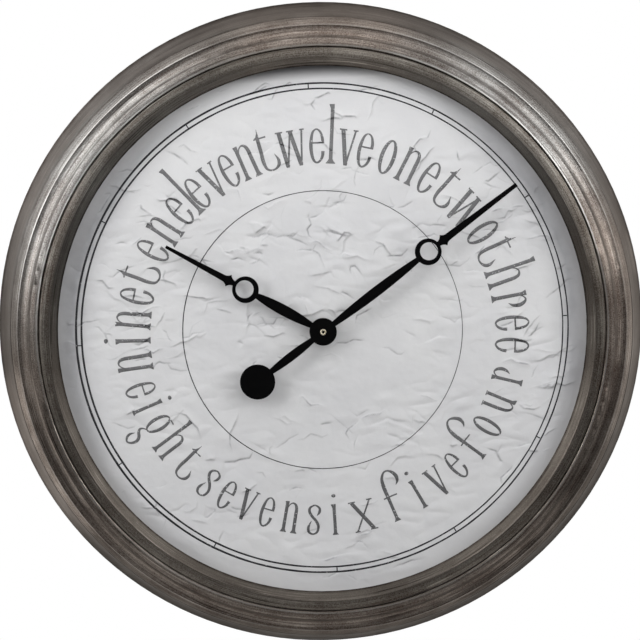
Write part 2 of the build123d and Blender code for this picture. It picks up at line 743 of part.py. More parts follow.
def make_fixing_nut():
    low = dial_height + WASHER_THICKNESS
    outline = RegularPolygon(NUT_FLATS / 2, 6, major_radius=False) - Circle(BUSHING_RADIUS)
    return slab(outline, low, low + NUT_THICKNESS)


# ---- battery ----------------------------------------------------------------------------------

nub_end = half_inner - CONTACT_SHEET
cell_end = nub_end - NUB_LENGTH
cell_start = cell_end - CELL_LENGTH
contact_z = (cell_z - CONTACT_WIDTH / 2, cell_z + CONTACT_WIDTH / 2)


def rod(radius, x_low, x_high):
    """A round rod along X on the battery's axis."""
    shape = Cylinder(radius, x_high - x_low, rotation=(0, 90, 0))
    return Pos((x_low + x_high) / 2, -cell_height, cell_z) * shape


def make_battery_cell():
    """AA cell with its raised positive end towards +X."""
    body = rod(CELL_RADIUS, cell_start, cell_end)
    body = chamfer(body.edges().filter_by(GeomType.CIRCLE), CELL_CHAMFER)
    return body + rod(NUB_RADIUS, cell_end, nub_end)


def make_positive_contact():
    return block((nub_end, half_inner), contact_z, cell_height - CONTACT_TAIL, inner_front)


def make_negative_contact():
    """A plate on the end wall with a sprung tongue that presses on the cell."""
    plate_face = CONTACT_SHEET - half_inner
    plate = block(
        (-half_inner, plate_face), contact_z, cell_height - CONTACT_TAIL, inner_front
    )
    tongue = Polygon(
        (plate_face, cell_height - SPRING_REACH),
        (cell_start, cell_height),
        (plate_face, cell_height + SPRING_REACH),
        (plate_face, cell_height + SPRING_REACH - TONGUE_THICKNESS),
        (cell_start - TONGUE_THICKNESS, cell_height),
        (plate_face, cell_height - SPRING_REACH + TONGUE_THICKNESS),
        align=None,
    )
    tongue = extrude(SECTION * tongue, amount=TONGUE_WIDTH / 2, both=True)
    return plate + Pos(0, 0, cell_z) * tongue


# ---- circuit, coil and stator -------------------------------------------------------------------

pcb_x = (PCB_EDGE_GAP - half_inner, PCB_EDGE_GAP + PCB_WIDTH - half_inner)
pcb_z = (half_inner - PCB_EDGE_GAP - PCB_LENGTH, half_inner - PCB_EDGE_GAP)
pcb_low = inner_back + POST_HEIGHT
pcb_top = pcb_low + PCB_THICKNESS
stator_left = rotor_at[0] - STATOR_HOLE_RADIUS - STATOR_RIM
stator_x = (stator_left, half_inner - STATOR_EDGE_GAP)
stator_z = (rotor_at[1] - STATOR_FOOT, half_inner - STATOR_EDGE_GAP)
window_z = (stator_z[0] + STATOR_ARM, stator_z[1] - STATOR_ARM)
coil_x = stator_x[1] - COIL_INSET
coil_height = stator_top + STATOR_THICKNESS / 2


def board_posts():
    x_low, x_high = pcb_x[0] + POST_INSET, pcb_x[1] - POST_INSET
    return [(x_low, pcb_z[0] + POST_INSET), (x_high, pcb_z[1] - POST_INSET)]


def stator_posts():
    x = stator_x[1] - POST_INSET
    return [(x, stator_z[0] + POST_INSET), (x, stator_z[1] - POST_INSET)]


def make_circuit_board():
    return block(pcb_x, pcb_z, pcb_low, pcb_top)


def make_timing_chip():
    """Round resin cap over the chip."""
    at = (sum(pcb_x) / 2, pcb_z[0] + CHIP_INSET)
    cap = disc(CHIP_RADIUS, pcb_top, pcb_top + CHIP_HEIGHT, at=at)
    return chamfer(front_rim(cap), CHIP_HEIGHT * 0.7)


def make_crystal_can():
    """Cylindrical quartz crystal lying on the circuit board."""
    place = Pos(sum(pcb_x) / 2, -(pcb_top + CRYSTAL_RADIUS), pcb_z[1] - CRYSTAL_INSET)
    return place * Cylinder(CRYSTAL_RADIUS, CRYSTAL_LENGTH)


def make_stator():
    """C-shaped iron plate round the rotor, open where the coil stands."""
    plate = block(stator_x, stator_z, stator_low, stator_top)
    window_x = (rotor_at[0] + STATOR_NECK, stator_x[1] + CUT)
    plate -= block(window_x, window_z, stator_low - CUT, stator_top + CUT)
    return plate - disc(STATOR_HOLE_RADIUS, stator_low - CUT, stator_top + CUT, at=rotor_at)


def make_coil_core():
    """Iron bar through the coil, lying on both arms of the stator."""
    x = (coil_x - CORE_WIDTH / 2, coil_x + CORE_WIDTH / 2)
    z = (stator_z[0] + CORE_INSET, stator_z[1] - CORE_INSET)
    return block(x, z, stator_top, stator_top + STATOR_THICKNESS)


def make_coil():
    """Winding on its bobbin, with a slot for the core."""
    z_low, z_high = window_z[0] + COIL_END_GAP, window_z[1] - COIL_END_GAP
    middle = Pos(coil_x, -coil_height, (z_low + z_high) / 2)
    coil = middle * Cylinder(COIL_RADIUS, z_high - z_low - 2 * COIL_CHEEK)
    for z in (z_low + COIL_CHEEK / 2, z_high - COIL_CHEEK / 2):
        cheek = Cylinder(COIL_RADIUS + COIL_CHEEK_RIM, COIL_CHEEK)
        coil += Pos(coil_x, -coil_height, z) * cheek
    return coil - middle * Box(CORE_WIDTH, STATOR_THICKNESS, 2 * (z_high - z_low))


# ---- hands --------------------------------------------------------------------------------------


def closed_outline(right_side):
    """A face from the edges of its right side, from bottom to top, and their mirror."""
    left_side = [mirror(edge, Plane.YZ) for edge in right_side]
    start = right_side[0] @ 0
    end = right_side[-1] @ 1
    top = Line(end, (-end.X, end.Y))
    bottom = Line((-start.X, start.Y), start)
    return make_face(Curve() + right_side + left_side + [top, bottom])


def arm(start, end, half_width):
    """A lens-shaped arm along +Y between two round pieces."""
    low, high = start - ARM_LAP, end + ARM_LAP
    middle = (half_width, (low + high) / 2)
    side = ThreePointArc((ARM_END_HALF_WIDTH, low), middle, (ARM_END_HALF_WIDTH, high))
    return closed_outline([side])


def spear(ring_at, length, shaft_half_width, tip_half_width):
    """The ring, the barbed collar and the tapering shaft beyond it, along +Y."""
    neck = ring_at + RING_RADIUS - ARM_LAP / 2
    barb = ring_at + RING_RADIUS + BARB_OFFSET
    shaft = barb + BARB_LENGTH
    side = run_of_edges(
        (NECK_HALF_WIDTH, neck),
        (BARB_HALF_WIDTH, barb, -1.1),
        (shaft_half_width, shaft, -0.9),
        (tip_half_width, length),
    )
    ring = Pos(0, ring_at) * Circle(RING_RADIUS) + closed_outline(side)
    return ring - Pos(0, ring_at + RING_HOLE_OFFSET) * Circle(RING_HOLE_RADIUS)


def make_minute_hand():
    """Drawn pointing to 12, then turned to its place; the round tail balances it."""
    arm_end = MINUTE_RING_AT - RING_RADIUS
    outline = Circle(HUB_RADIUS) + arm(HUB_RADIUS, arm_end, MINUTE_ARM_HALF_WIDTH)
    widths = (MINUTE_SHAFT_HALF_WIDTH, MINUTE_TIP_HALF_WIDTH)
    outline += spear(MINUTE_RING_AT, minute_length, *widths)
    tail = arm(HUB_RADIUS, TAIL_AT - TAIL_RADIUS, TAIL_ARM_HALF_WIDTH)
    tail += Pos(0, TAIL_AT) * Circle(TAIL_RADIUS)
    outline += Rot(0, 0, 180) * tail
    outline -= arbor_flats()
    return turned(slab(outline, minute_hand_low, minute_hand_top), MINUTE_ANGLE)


def make_hour_hand():
    arm_end = HOUR_RING_AT - RING_RADIUS
    outline = Circle(HUB_RADIUS) + arm(HUB_RADIUS, arm_end, HOUR_ARM_HALF_WIDTH)
    outline += spear(HOUR_RING_AT, HOUR_LENGTH, HOUR_SHAFT_HALF_WIDTH, HOUR_TIP_HALF_WIDTH)
    outline -= Circle(PIPE_RADIUS)
    return turned(slab(outline, hour_hand_low, hour_hand_top), HOUR_ANGLE)


def make_hour_collet():
    """Brass bush under the hour hand that grips the pipe."""
    return disc(COLLET_RADIUS, collet_low, hour_hand_low, bore=PIPE_RADIUS)


def make_hand_nut():
    """Open brass nut that holds the minute hand."""
    top = minute_hand_top + HAND_NUT_THICKNESS
    nut = disc(HAND_NUT_RADIUS, minute_hand_top, top, bore=STUD_RADIUS)
    return chamfer(front_rim(nut), HAND_NUT_CHAMFER)


# ---- the clock ------------------------------------------------------------------------------------

SUB_PARTS = {
    "outer_case": make_outer_case,
    "inner_bezel": make_inner_bezel,
    "dial_board": make_dial_board,
    "dial_paper": make_dial_paper,
    "board_clips": make_board_clips,
    "clip_screws": make_clip_screws,
    "hanger_plate": make_hanger_plate,
    "hanger_rivets": make_hanger_rivets,
    "movement_case_front": make_case_front,
    "movement_case_rear": make_case_rear,
    "threaded_bushing": make_threaded_bushing,
    "cushion_washer": make_cushion_washer,
    "fixing_washer": make_fixing_washer,
    "fixing_nut": make_fixing_nut,
    "battery_cell": make_battery_cell,
    "positive_contact": make_positive_contact,
    "negative_contact": make_negative_contact,
    "circuit_board": make_circuit_board,
    "timing_chip": make_timing_chip,
    "crystal_can": make_crystal_can,
    "stator": make_stator,
    "coil_core": make_coil_core,
    "coil": make_coil,
    "rotor": make_rotor,
    "rotor_magnet": make_rotor_magnet,
    "step_wheel": make_step_wheel,
    "fourth_wheel": make_fourth_wheel,
    "third_wheel": make_third_wheel,
    "centre_wheel": make_centre_wheel,
    "minute_arbor": make_minute_arbor,
    "motion_wheel": make_motion_wheel,
    "hour_wheel": make_hour_wheel,
    "setting_knob": make_setting_knob,
    "setting_shaft": make_setting_shaft,
    "hour_hand": make_hour_hand,
    "hour_collet": make_hour_collet,
    "minute_hand": make_minute_hand,
    "hand_nut": make_hand_nut,
}

os.makedirs("parts", exist_ok=True)
for name, make in SUB_PARTS.items():
    save(name, make())
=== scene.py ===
"""Looks of a round wall clock: metal frame, creased paper dial, hours in words, black hands.

The clock faces -Y and hangs on the plane Y = 0, with 12 o'clock towards +Z. Metres throughout,
apart from the dial's print and creases and the hands' nut, which are worked out in millimetres.
"""

import json
from math import cos, pi, radians, sin

import bpy
import numpy as np
from mathutils import Matrix, Vector
from mathutils.geometry import delaunay_2d_cdt


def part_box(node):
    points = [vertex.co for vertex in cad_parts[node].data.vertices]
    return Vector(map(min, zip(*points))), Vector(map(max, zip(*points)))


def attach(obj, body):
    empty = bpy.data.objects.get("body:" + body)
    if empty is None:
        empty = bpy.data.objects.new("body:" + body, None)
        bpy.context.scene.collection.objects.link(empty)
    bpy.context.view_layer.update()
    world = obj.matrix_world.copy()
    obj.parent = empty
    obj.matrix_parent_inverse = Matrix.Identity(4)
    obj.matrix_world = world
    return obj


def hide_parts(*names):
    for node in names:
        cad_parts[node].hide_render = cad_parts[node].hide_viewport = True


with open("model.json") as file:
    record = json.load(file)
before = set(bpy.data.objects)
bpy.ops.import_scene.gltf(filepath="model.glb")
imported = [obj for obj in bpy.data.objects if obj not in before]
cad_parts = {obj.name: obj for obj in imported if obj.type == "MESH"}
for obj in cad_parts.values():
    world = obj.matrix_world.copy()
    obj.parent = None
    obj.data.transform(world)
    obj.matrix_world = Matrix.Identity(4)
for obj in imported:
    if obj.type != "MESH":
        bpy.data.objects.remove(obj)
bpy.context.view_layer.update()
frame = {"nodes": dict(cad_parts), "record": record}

MM = 0.001

# ---- sizes read from the frame ----


def node_front(name):
    """How far in front of the wall a node reaches."""
    return -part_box(name)[0].y


DIAL_FRONT = node_front("dial_paper")
BOARD_FRONT = node_front("dial_board")
FRAME_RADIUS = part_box("outer_case")[1].x

# ---- objects and shader nodes ----


def add_object(name, data):
    """An object in the scene that holds the data."""
    added = bpy.data.objects.new(name, data)
    bpy.context.scene.collection.objects.link(added)
    return added


class Nodes:
    """Short calls that add nodes to one tree and give their outputs."""

    def __init__(self, tree):
        self.tree = tree

    def add(self, kind, **settings):
        """A new shader node with these settings."""
        node = self.tree.nodes.new("ShaderNode" + kind)
        for key, value in settings.items():
            setattr(node, key, value)
        return node

    def put(self, value, socket):
        """Link an output, or set a plain value, on a socket."""
        if isinstance(value, bpy.types.NodeSocket):
            self.tree.links.new(value, socket)
        elif hasattr(value, "__len__") and len(value) == 3 and len(socket.default_value) == 4:
            socket.default_value = (*value, 1.0)
        else:
            socket.default_value = value

    def set(self, node, **sockets):
        """Put values on a node's sockets by name."""
        for name, value in sockets.items():
            self.put(value, node.inputs[name])

    def fill(self, node, *values):
        """Put values on a node's sockets in turn, and give its first output."""
        for value, socket in zip(values, node.inputs):
            self.put(value, socket)
        return node.outputs[0]

    def math(self, operation, a, b=0.0):
        return self.fill(self.add("Math", operation=operation), a, b)

    def plus(self, a, b):
        return self.math("ADD", a, b)

    def times(self, a, b):
        return self.math("MULTIPLY", a, b)

    def vector(self, operation, a, b):
        return self.fill(self.add("VectorMath", operation=operation), a, b)

    def scaled(self, colour, share):
        """A colour times one value."""
        return self.vector("MULTIPLY", colour, self.joined(share, share, share))

    def parts(self, place):
        """X, Y and Z of a place or direction."""
        node = self.add("SeparateXYZ")
        self.fill(node, place)
        return tuple(node.outputs)

    def joined(self, x, y, z):
        return self.fill(self.add("CombineXYZ"), x, y, z)

    def steps(self, value, *stops):
        """A ramp: stops are (position, level)."""
        node = self.add("ValToRGB")
        ramp = node.color_ramp
        while len(ramp.elements) < len(stops):
            ramp.elements.new(0.5)
        for element, (position, level) in zip(ramp.elements, stops):
            element.position = position
            element.color = (level, level, level, 1)
        return self.fill(node, value)

    def spread(self, value, low, high, to_low=0.0, to_high=1.0):
        """Map a range to another and clamp it."""
        return self.fill(self.add("MapRange"), value, low, high, to_low, to_high)

    def mix(self, share, a, b):
        """Colour a to colour b by share."""
        node = self.add("Mix", data_type="RGBA")
        self.put(share, node.inputs[0])
        self.put(a, node.inputs[6])
        self.put(b, node.inputs[7])
        return node.outputs[2]


class Finish(Nodes):
    """A material on one Principled shader."""

    def __init__(self, name, **sockets):
        self.material = bpy.data.materials.new(name)
        self.material.use_nodes = True
        super().__init__(self.material.node_tree)
        self.shader = self.tree.nodes["Principled BSDF"]
        for socket, value in sockets.items():
            socket = socket.replace("_", " ").title().replace("Ior", "IOR")
            self.shader.inputs[socket].default_value = value
        self.place = self.add("TexCoord").outputs["Object"]
        self.x, self.y, self.z = self.parts(self.place)

    def off_axis(self):
        """Distance from the clock's axis."""
        return self.math("SQRT", self.plus(self.times(self.x, self.x), self.times(self.z, self.z)))

    def noise(self, scale, detail=3.0, roughness=0.55, at=None, w=None, distortion=0.0):
        """Noise with features of about 1 / scale metres, from 0 to 1."""
        node = self.add("TexNoise", noise_dimensions="3D" if w is None else "4D")
        self.set(node, Vector=self.place if at is None else at, Scale=scale, Detail=detail)
        self.set(node, Roughness=roughness, Distortion=distortion)
        if w is not None:
            self.set(node, W=w)
        return node.outputs["Fac"]

    def fold_shade(self):
        """How much painted shade a fold of the paper has here, as its mesh keeps it."""
        return self.add("Attribute", attribute_name="fold_shade").outputs["Fac"]

    def colour(self, value):
        self.put(value, self.shader.inputs["Base Color"])

    def roughness(self, value):
        self.set(self.shader, Roughness=value)

    def bump(self, height, distance, strength=1.0):
        """Raise the surface by height times distance, in metres; calls add up."""
        node = self.add("Bump")
        self.set(node, Strength=strength, Distance=distance, Height=height)
        normal = self.shader.inputs["Normal"]
        if normal.is_linked:
            self.tree.links.new(normal.links[0].from_socket, node.inputs["Normal"])
        self.tree.links.new(node.outputs[0], normal)


# ---- camera ----

IMAGE_SIZE = 640
CAMERA_DISTANCE = 2.07
CAMERA_RISE = radians(6.5)  # above the dial's axis
CAMERA_SIDE = radians(-1.6)  # to the right of it
CAMERA_ROLL = radians(3.4)  # the clock hangs turned by this angle
FOCAL_LENGTH = 124.66  # mm, like the sensor's width
SENSOR_WIDTH = 36.0
DIAL_CENTRE_AT = (322.8, 330.5)  # in the image, pixels from its top left corner


def make_camera():
    """Look at the dial from a little above, with the clock turned in the frame."""
    target = Vector((0, -DIAL_FRONT, 0))
    up = Vector((sin(CAMERA_ROLL), 0, cos(CAMERA_ROLL)))
    aside = Vector((cos(CAMERA_ROLL), 0, -sin(CAMERA_ROLL)))
    level = cos(CAMERA_SIDE) * Vector((0, -1, 0)) + sin(CAMERA_SIDE) * aside
    back = cos(CAMERA_RISE) * level + sin(CAMERA_RISE) * up
    up = (up - up.dot(back) * back).normalized()
    right = up.cross(back)
    data = bpy.data.cameras.new("camera")
    data.lens = FOCAL_LENGTH
    data.sensor_width = SENSOR_WIDTH
    data.sensor_fit = "HORIZONTAL"
    data.shift_x = (IMAGE_SIZE / 2 - DIAL_CENTRE_AT[0]) / IMAGE_SIZE
    data.shift_y = (DIAL_CENTRE_AT[1] - IMAGE_SIZE / 2) / IMAGE_SIZE
    camera = add_object("camera", data)
    turn = Matrix((right, up, back)).transposed().to_4x4()
    camera.matrix_world = Matrix.Translation(target + CAMERA_DISTANCE * back) @ turn
    bpy.context.scene.camera = camera


# ---- stage and light ----

FLOOR_LEVEL = -0.9
FLOOR_HALF = 1.0  # of its width


def make_floor():
    """A plain pale floor well below the clock."""
    corners = [(-1, -1), (1, -1), (1, 1), (-1, 1)]
    points = [(FLOOR_HALF * x, FLOOR_HALF * y, FLOOR_LEVEL) for x, y in corners]
    mesh = bpy.data.meshes.new("floor")
    mesh.from_pydata(points, [], [(0, 1, 2, 3)])
    floor = add_object("floor", mesh)
    f = Finish("floor_paint", roughness=0.6)
    f.colour(f.mix(f.noise(3, detail=2), (0.50, 0.50, 0.495), (0.55, 0.55, 0.545)))
    mesh.materials.append(f.material)


# degrees clockwise from 12, degrees off the dial's axis, metres away, metres wide, watts
SOFT_BOXES = [
    (0, 32, 2.4, 1.1, 5.0),
    (50, 32, 2.4, 1.1, 6.0),
    (-75, 58, 2.4, 0.9, 14.5),
    (-58, 58, 2.4, 0.9, 8.0),
    (-40, 58, 2.4, 0.9, 11.0),
    (0, 58, 2.4, 1.1, 3.5),
    (42, 58, 2.4, 0.9, 5.0),
    (58, 58, 2.4, 0.9, 8.0),
    (75, 58, 2.4, 0.9, 11.0),
    (96, 52, 2.4, 0.9, 2.6),
    (-98, 52, 2.4, 0.9, 2.2),
    (-30, 78, 2.0, 0.7, 3.7),
    (0, 78, 2.0, 0.9, 2.6),
    (20, 78, 2.0, 0.7, 2.5),
    (-58, 95, 1.6, 0.9, 3.9),
    (48, 95, 1.6, 0.9, 2.5),
    (-118, 108, 1.6, 0.9, 4.6),
    (100, 108, 1.6, 0.9, 1.3),
    (-35, 166, 2.4, 1.1, 16.0),
    (45, 163, 2.4, 1.1, 13.0),
    (175, 166, 2.4, 1.1, 8.0),
]


def add_area_light(name, around, off_axis, distance, size, power):
    """A soft box that faces the dial, from degrees clockwise from 12 and off the dial's axis."""
    around, off_axis = radians(around), radians(off_axis)
    back = Vector((sin(off_axis) * sin(around), -cos(off_axis), sin(off_axis) * cos(around)))
    data = bpy.data.lights.new(name, "AREA")
    data.shape = "RECTANGLE"
    data.size = data.size_y = size
    data.energy = power
    light = add_object(name, data)
    facing = back.to_track_quat("Z", "Y").to_matrix().to_4x4()
    light.matrix_world = Matrix.Translation(distance * back) @ facing


GLOW = 0.11  # strength of the surroundings that light the clock
# how far a reflected ray has to head backwards, along y, to meet the white backdrop
BACKDROP_FROM = 0.0
BACKDROP_FULL = 0.3


def make_light():
    """White for the camera and through glass, and for metal behind the clock; else a dim glow."""
    world = bpy.data.worlds.new("studio")
    bpy.context.scene.world = world
    world.use_nodes = True
    nodes = Nodes(world.node_tree)
    glow = nodes.fill(nodes.tree.nodes["Background"], (1, 1, 1, 1), GLOW)
    seen = nodes.fill(nodes.add("Background"), (1, 1, 1, 1), 1.0)
    rays = nodes.add("LightPath").outputs
    backwards = nodes.parts(nodes.add("TexCoord").outputs["Generated"])[1]
    direct = nodes.math("MAXIMUM", rays["Is Camera Ray"], rays["Is Transmission Ray"])
    behind = nodes.spread(backwards, BACKDROP_FROM, BACKDROP_FULL)
    shown = nodes.times(rays["Is Glossy Ray"], behind)
    white = nodes.math("MAXIMUM", direct, shown)
    surroundings = nodes.fill(nodes.add("MixShader"), white, glow, seen)
    nodes.set(nodes.tree.nodes["World Output"], Surface=surroundings)
    for number, box in enumerate(SOFT_BOXES):
        add_area_light(f"soft_box_{number}", *box)
    bpy.context.scene.view_settings.view_transform = "Standard"


# ---- finishes ----

# the frame's bands, in metres from the axis; the stops below run from 0 to 1 across the first
FINISH_SPAN = (FRAME_RADIUS - 0.065, FRAME_RADIUS + 0.005)
BEZEL_FACE = (FRAME_RADIUS - 0.0520, FRAME_RADIUS - 0.0424)
SEAM_BAND = (FRAME_RADIUS - 0.0416, FRAME_RADIUS - 0.0340)
COVE_FOOT = (FRAME_RADIUS - 0.035, FRAME_RADIUS - 0.025)
BEZEL_CROWN = 0.14  # outward lean that the shading of the bezel's face shows
BAND_CROWN = 0.36  # and that of the band beside the seam

# (position, level) stops across the frame
PITTED = ((0.0, 0.45), (0.18, 0.45), (0.21, 1.0), (0.74, 1.0), (0.78, 0.40))
PATINA = (
    (0.0, 0.54), (0.18, 0.58), (0.21, 0.79), (0.315, 0.79), (0.335, 1.35), (0.352, 1.0),
    (0.44, 0.98), (0.46, 1.0), (0.50, 1.25), (0.57, 1.25), (0.62, 0.95), (0.70, 0.82), (0.73, 0.52),
    (0.85, 0.42), (1.0, 0.36),
)
SMOOTH = ((0.0, 0.5), (0.18, 0.5), (0.21, 0.3), (0.33, 0.3), (0.36, 1.0), (0.74, 1.0), (0.78, 0.5))
RIDGE_EDGE = ((0.0, 0.0), (0.610, 0.0), (0.615, 1.0), (0.621, 1.0), (0.627, 0.0))
BAND_EDGE = ((0.0, 0.0), (0.342, 0.0), (0.348, 1.0), (0.358, 1.0), (0.364, 0.0))
# wax in the hollows; the first stops, on the lip, are a painted shade line
WAX_AND_LIP_SHADE = (
    (0.0, 1.0), (0.091, 1.0), (0.104, 0.10), (0.175, 0.0), (0.195, 0.25), (0.31, 0.10),
    (0.326, 0.90), (0.337, 0.90), (0.342, 0.0), (0.435, 0.05), (0.446, 0.60), (0.462, 0.45),
    (0.50, 0.05), (0.596, 0.35), (0.606, 0.35), (0.612, 0.0), (0.64, 0.05), (0.71, 0.20),
    (0.722, 0.9), (0.738, 0.30), (0.78, 0.10), (0.880, 0.15), (0.905, 0.95),
)


def spun_metal(name):
    """Aged pewter, brushed round the clock's axis, with dark wax in the hollows, and painted light
    and shade round the ring and on the lip.
    """
    f = Finish(name, metallic=1.0, roughness=0.40, anisotropic=0.92, anisotropic_rotation=0.25)
    f.shader.inputs["Specular Tint"].default_value = (0.75, 0.73, 0.70, 1.0)
    tangent = f.add("Tangent", direction_type="RADIAL", axis="Y")
    f.set(f.shader, Tangent=tangent.outputs[0])
    radius = f.off_axis()
    span = f.spread(radius, *FINISH_SPAN)
    sideways, upward = f.math("DIVIDE", f.x, radius), f.math("DIVIDE", f.z, radius)
    around = f.joined(sideways, upward, 0.0)

    def streaks(length, width, detail=4.0):
        """Noise that changes slowly round the ring and quickly across it."""
        along = f.vector("MULTIPLY", around, (length, length, 0))
        across = f.joined(0.0, 0.0, f.times(radius, width))
        at = f.vector("ADD", along, across)
        return f.noise(1.0, detail, 0.6, at=at, w=f.times(f.y, width))

    def towards(degrees):
        """1 where the ring faces this many degrees clockwise from 12, down to -1 opposite."""
        turn = radians(degrees)
        return f.plus(f.times(sideways, sin(turn)), f.times(upward, cos(turn)))

    fine = streaks(3.0, 1100.0)
    broad = streaks(1.5, 320.0)
    long = streaks(0.7, 90.0, 2.0)
    grain = f.noise(1000, 3, 0.6)
    mottle = f.noise(22, 5, 0.6)
    tone = f.times(fine, 0.30)
    for layer, weight in ((broad, 0.11), (long, 0.07), (mottle, 0.18), (grain, 0.34)):
        tone = f.plus(tone, f.times(layer, weight))
    # pitted from the bead to the bezel, rubbed smooth on the flare and the slope
    worn = f.math("SUBTRACT", f.spread(tone, 0.42, 0.62), 0.5)
    worn = f.times(worn, f.steps(span, *PITTED))
    colour = f.mix(f.plus(worn, 0.5), (0.100, 0.080, 0.068), (0.44, 0.437, 0.408))
    # pale dry-brushed streaks and dark scratches, both broken up round the ring
    pale = f.times(f.spread(streaks(2.2, 850.0, 3.0), 0.56, 0.66), f.spread(mottle, 0.44, 0.60))
    colour = f.mix(f.times(pale, 0.7), colour, (0.74, 0.73, 0.68))
    dark = f.spread(streaks(2.6, 950.0, 3.0), 0.575, 0.64)
    dark = f.times(dark, f.spread(f.noise(14, 3), 0.40, 0.54))
    colour = f.mix(f.times(dark, 0.85), colour, (0.035, 0.030, 0.027))
    colour = f.scaled(colour, f.steps(span, *PATINA))
    # painted light and shade: neutral metal towards half past one and half past ten, where the
    # highlights fall, and a brown cast elsewhere, where the ring is in shade
    upper_left = towards(-52)
    lit_sides = f.math("MAXIMUM", f.spread(towards(45), 0.86, 0.99), f.spread(upper_left, 0.74, 0.97))
    light_tint = f.mix(lit_sides, (1.125, 1.0, 0.945), (0.990, 1.0, 1.035))
    plain = f.mix(f.spread(radius, *COVE_FOOT), (1.050, 1.0, 0.940), (1.130, 1.0, 0.975))
    colour = f.vector("MULTIPLY", colour, f.mix(f.steps(span, *SMOOTH), plain, light_tint))
    # painted shade along the bottom outside the seam, and painted light a little lighter towards
    # half past ten and on the upper half of the slope
    outside = f.spread(radius, BEZEL_FACE[1] - 0.0006, SEAM_BAND[0] + 0.0026)
    lower = f.times(outside, f.spread(upward, -0.75, -0.10, 0.27, 0.0))
    left_light = f.times(outside, f.spread(upper_left, 0.80, 0.97, 0.0, 0.14))
    on_slope = f.spread(radius, BEZEL_FACE[0] - 0.0015, BEZEL_FACE[0], 0.5, 0.0)
    slope = f.times(on_slope, f.spread(upward, -0.10, 0.60))
    colour = f.scaled(colour, f.plus(f.math("SUBTRACT", 1.0, lower), f.plus(left_light, slope)))
    # bare worn edges bright on the ridge and at the band's inner edge, partly wear and partly a
    # painted highlight that is strongest on the lit sides
    ridge = f.times(f.steps(span, *RIDGE_EDGE), 0.55)
    worn_edge_glint = f.plus(ridge, f.steps(span, *BAND_EDGE))
    worn_edge_glint = f.times(worn_edge_glint, f.spread(f.noise(26, 3), 0.30, 0.50, 0.35, 1.0))
    worn_edge_glint = f.times(worn_edge_glint, f.plus(f.times(lit_sides, 0.75), 0.25))
    colour = f.mix(worn_edge_glint, colour, (0.92, 0.91, 0.88))
    # wax left in the groove, under the ridge, beside the step and in the seam, and a dark band on
    # the lip that is painted shade where the lip meets the paper
    broken = f.spread(f.noise(60, 4, 0.7), 0.30, 0.62)
    wax_and_lip_shade = f.times(f.steps(span, *WAX_AND_LIP_SHADE), f.plus(f.times(broken, 0.6), 0.4))
    colour = f.mix(wax_and_lip_shade, colour, (0.040, 0.031, 0.027))
    speck = f.spread(f.noise(900, 2, 0.5), 0.68, 0.74)
    f.colour(f.mix(f.times(speck, 0.5), colour, (0.03, 0.027, 0.024)))
    rough = f.spread(f.plus(f.times(mottle, 0.5), f.times(broad, 0.5)), 0.3, 0.7, 0.42, 0.31)
    duller = f.spread(radius, BEZEL_FACE[0] - 0.0010, BEZEL_FACE[0] + 0.0005, 0.16, 0.0)
    f.roughness(f.plus(rough, duller))
    for (inside, out), crown in ((BEZEL_FACE, BEZEL_CROWN), (SEAM_BAND, BAND_CROWN)):
        f.bump(f.spread(radius, inside, out, 1.0, 0.0), (out - inside) * crown)
    f.bump(fine, 0.00006, 0.5)
    f.bump(broad, 0.0002, 0.35)
    return f.material


# heights on the dial and distances off its axis, and (position, level) stops across them
TOP_LIGHT_SPAN = (-0.25, 0.25)
TOP_LIGHT_FADE = ((0.0, 0.765), (0.3, 0.795), (0.5, 0.828), (0.7, 0.866), (1.0, 1.0))
RIM_SPAN = (0.200, 0.250)
RIM_SHADE = ((0.0, 0.0), (0.16, 0.0), (0.44, 0.30), (0.66, 1.0), (0.92, 0.45))
UNDER_LIP_SHADOW = (0.233, 0.244)
WORDS_SPAN = (-0.19, 0.19)


def creased_paper(name):
    """Cool pale paper, handled until it is soft, with painted shade towards the rim, in the folds
    and towards the bottom.
    """
    f = Finish(name, roughness=0.72, specular_ior_level=0.3)
    radius = f.off_axis()
    cloud = f.noise(14, 4, 0.6)
    fibre = f.noise(1300, 3, 0.6)
    colour = f.mix(f.spread(cloud, 0.35, 0.65), (0.749, 0.749, 0.763), (0.800, 0.800, 0.806))
    colour = f.mix(f.times(f.spread(fibre, 0.45, 0.75), 0.12), colour, (0.62, 0.62, 0.63))
    # painted light: the paper is lighter towards the top of the dial and darker towards the bottom
    colour = f.scaled(colour, f.steps(f.spread(f.z, *TOP_LIGHT_SPAN), *TOP_LIGHT_FADE))
    # painted shade beside the lip, ragged, most at the sides, and a deep painted shadow under the
    # lip at the top
    ragged = f.plus(radius, f.times(f.math("SUBTRACT", f.noise(24, 5, 0.65), 0.5), 0.022))
    rim = f.steps(f.spread(ragged, *RIM_SPAN), *RIM_SHADE)
    sides = f.plus(f.math("ABSOLUTE", f.x), f.times(f.z, 0.3))
    rim = f.times(rim, f.spread(sides, 0.165, 0.235, 0.10, 0.60))
    colour = f.mix(rim, colour, (0.24, 0.24, 0.262))
    colour = f.mix(f.spread(f.z, *UNDER_LIP_SHADOW, 0.0, 0.8), colour, (0.05, 0.05, 0.055))
    # painted shade in the folds
    broken = f.spread(f.noise(160, 3), 0.35, 0.60, 0.35, 1.0)
    folds = f.times(f.spread(f.fold_shade(), 0.12, 0.9, 0.0, 0.8), broken)
    f.colour(f.mix(folds, colour, (0.16, 0.16, 0.175)))
    f.bump(f.noise(130, 5, 0.62), 0.0004, 0.5)
    f.bump(fibre, 0.00004, 0.4)
    return f.material


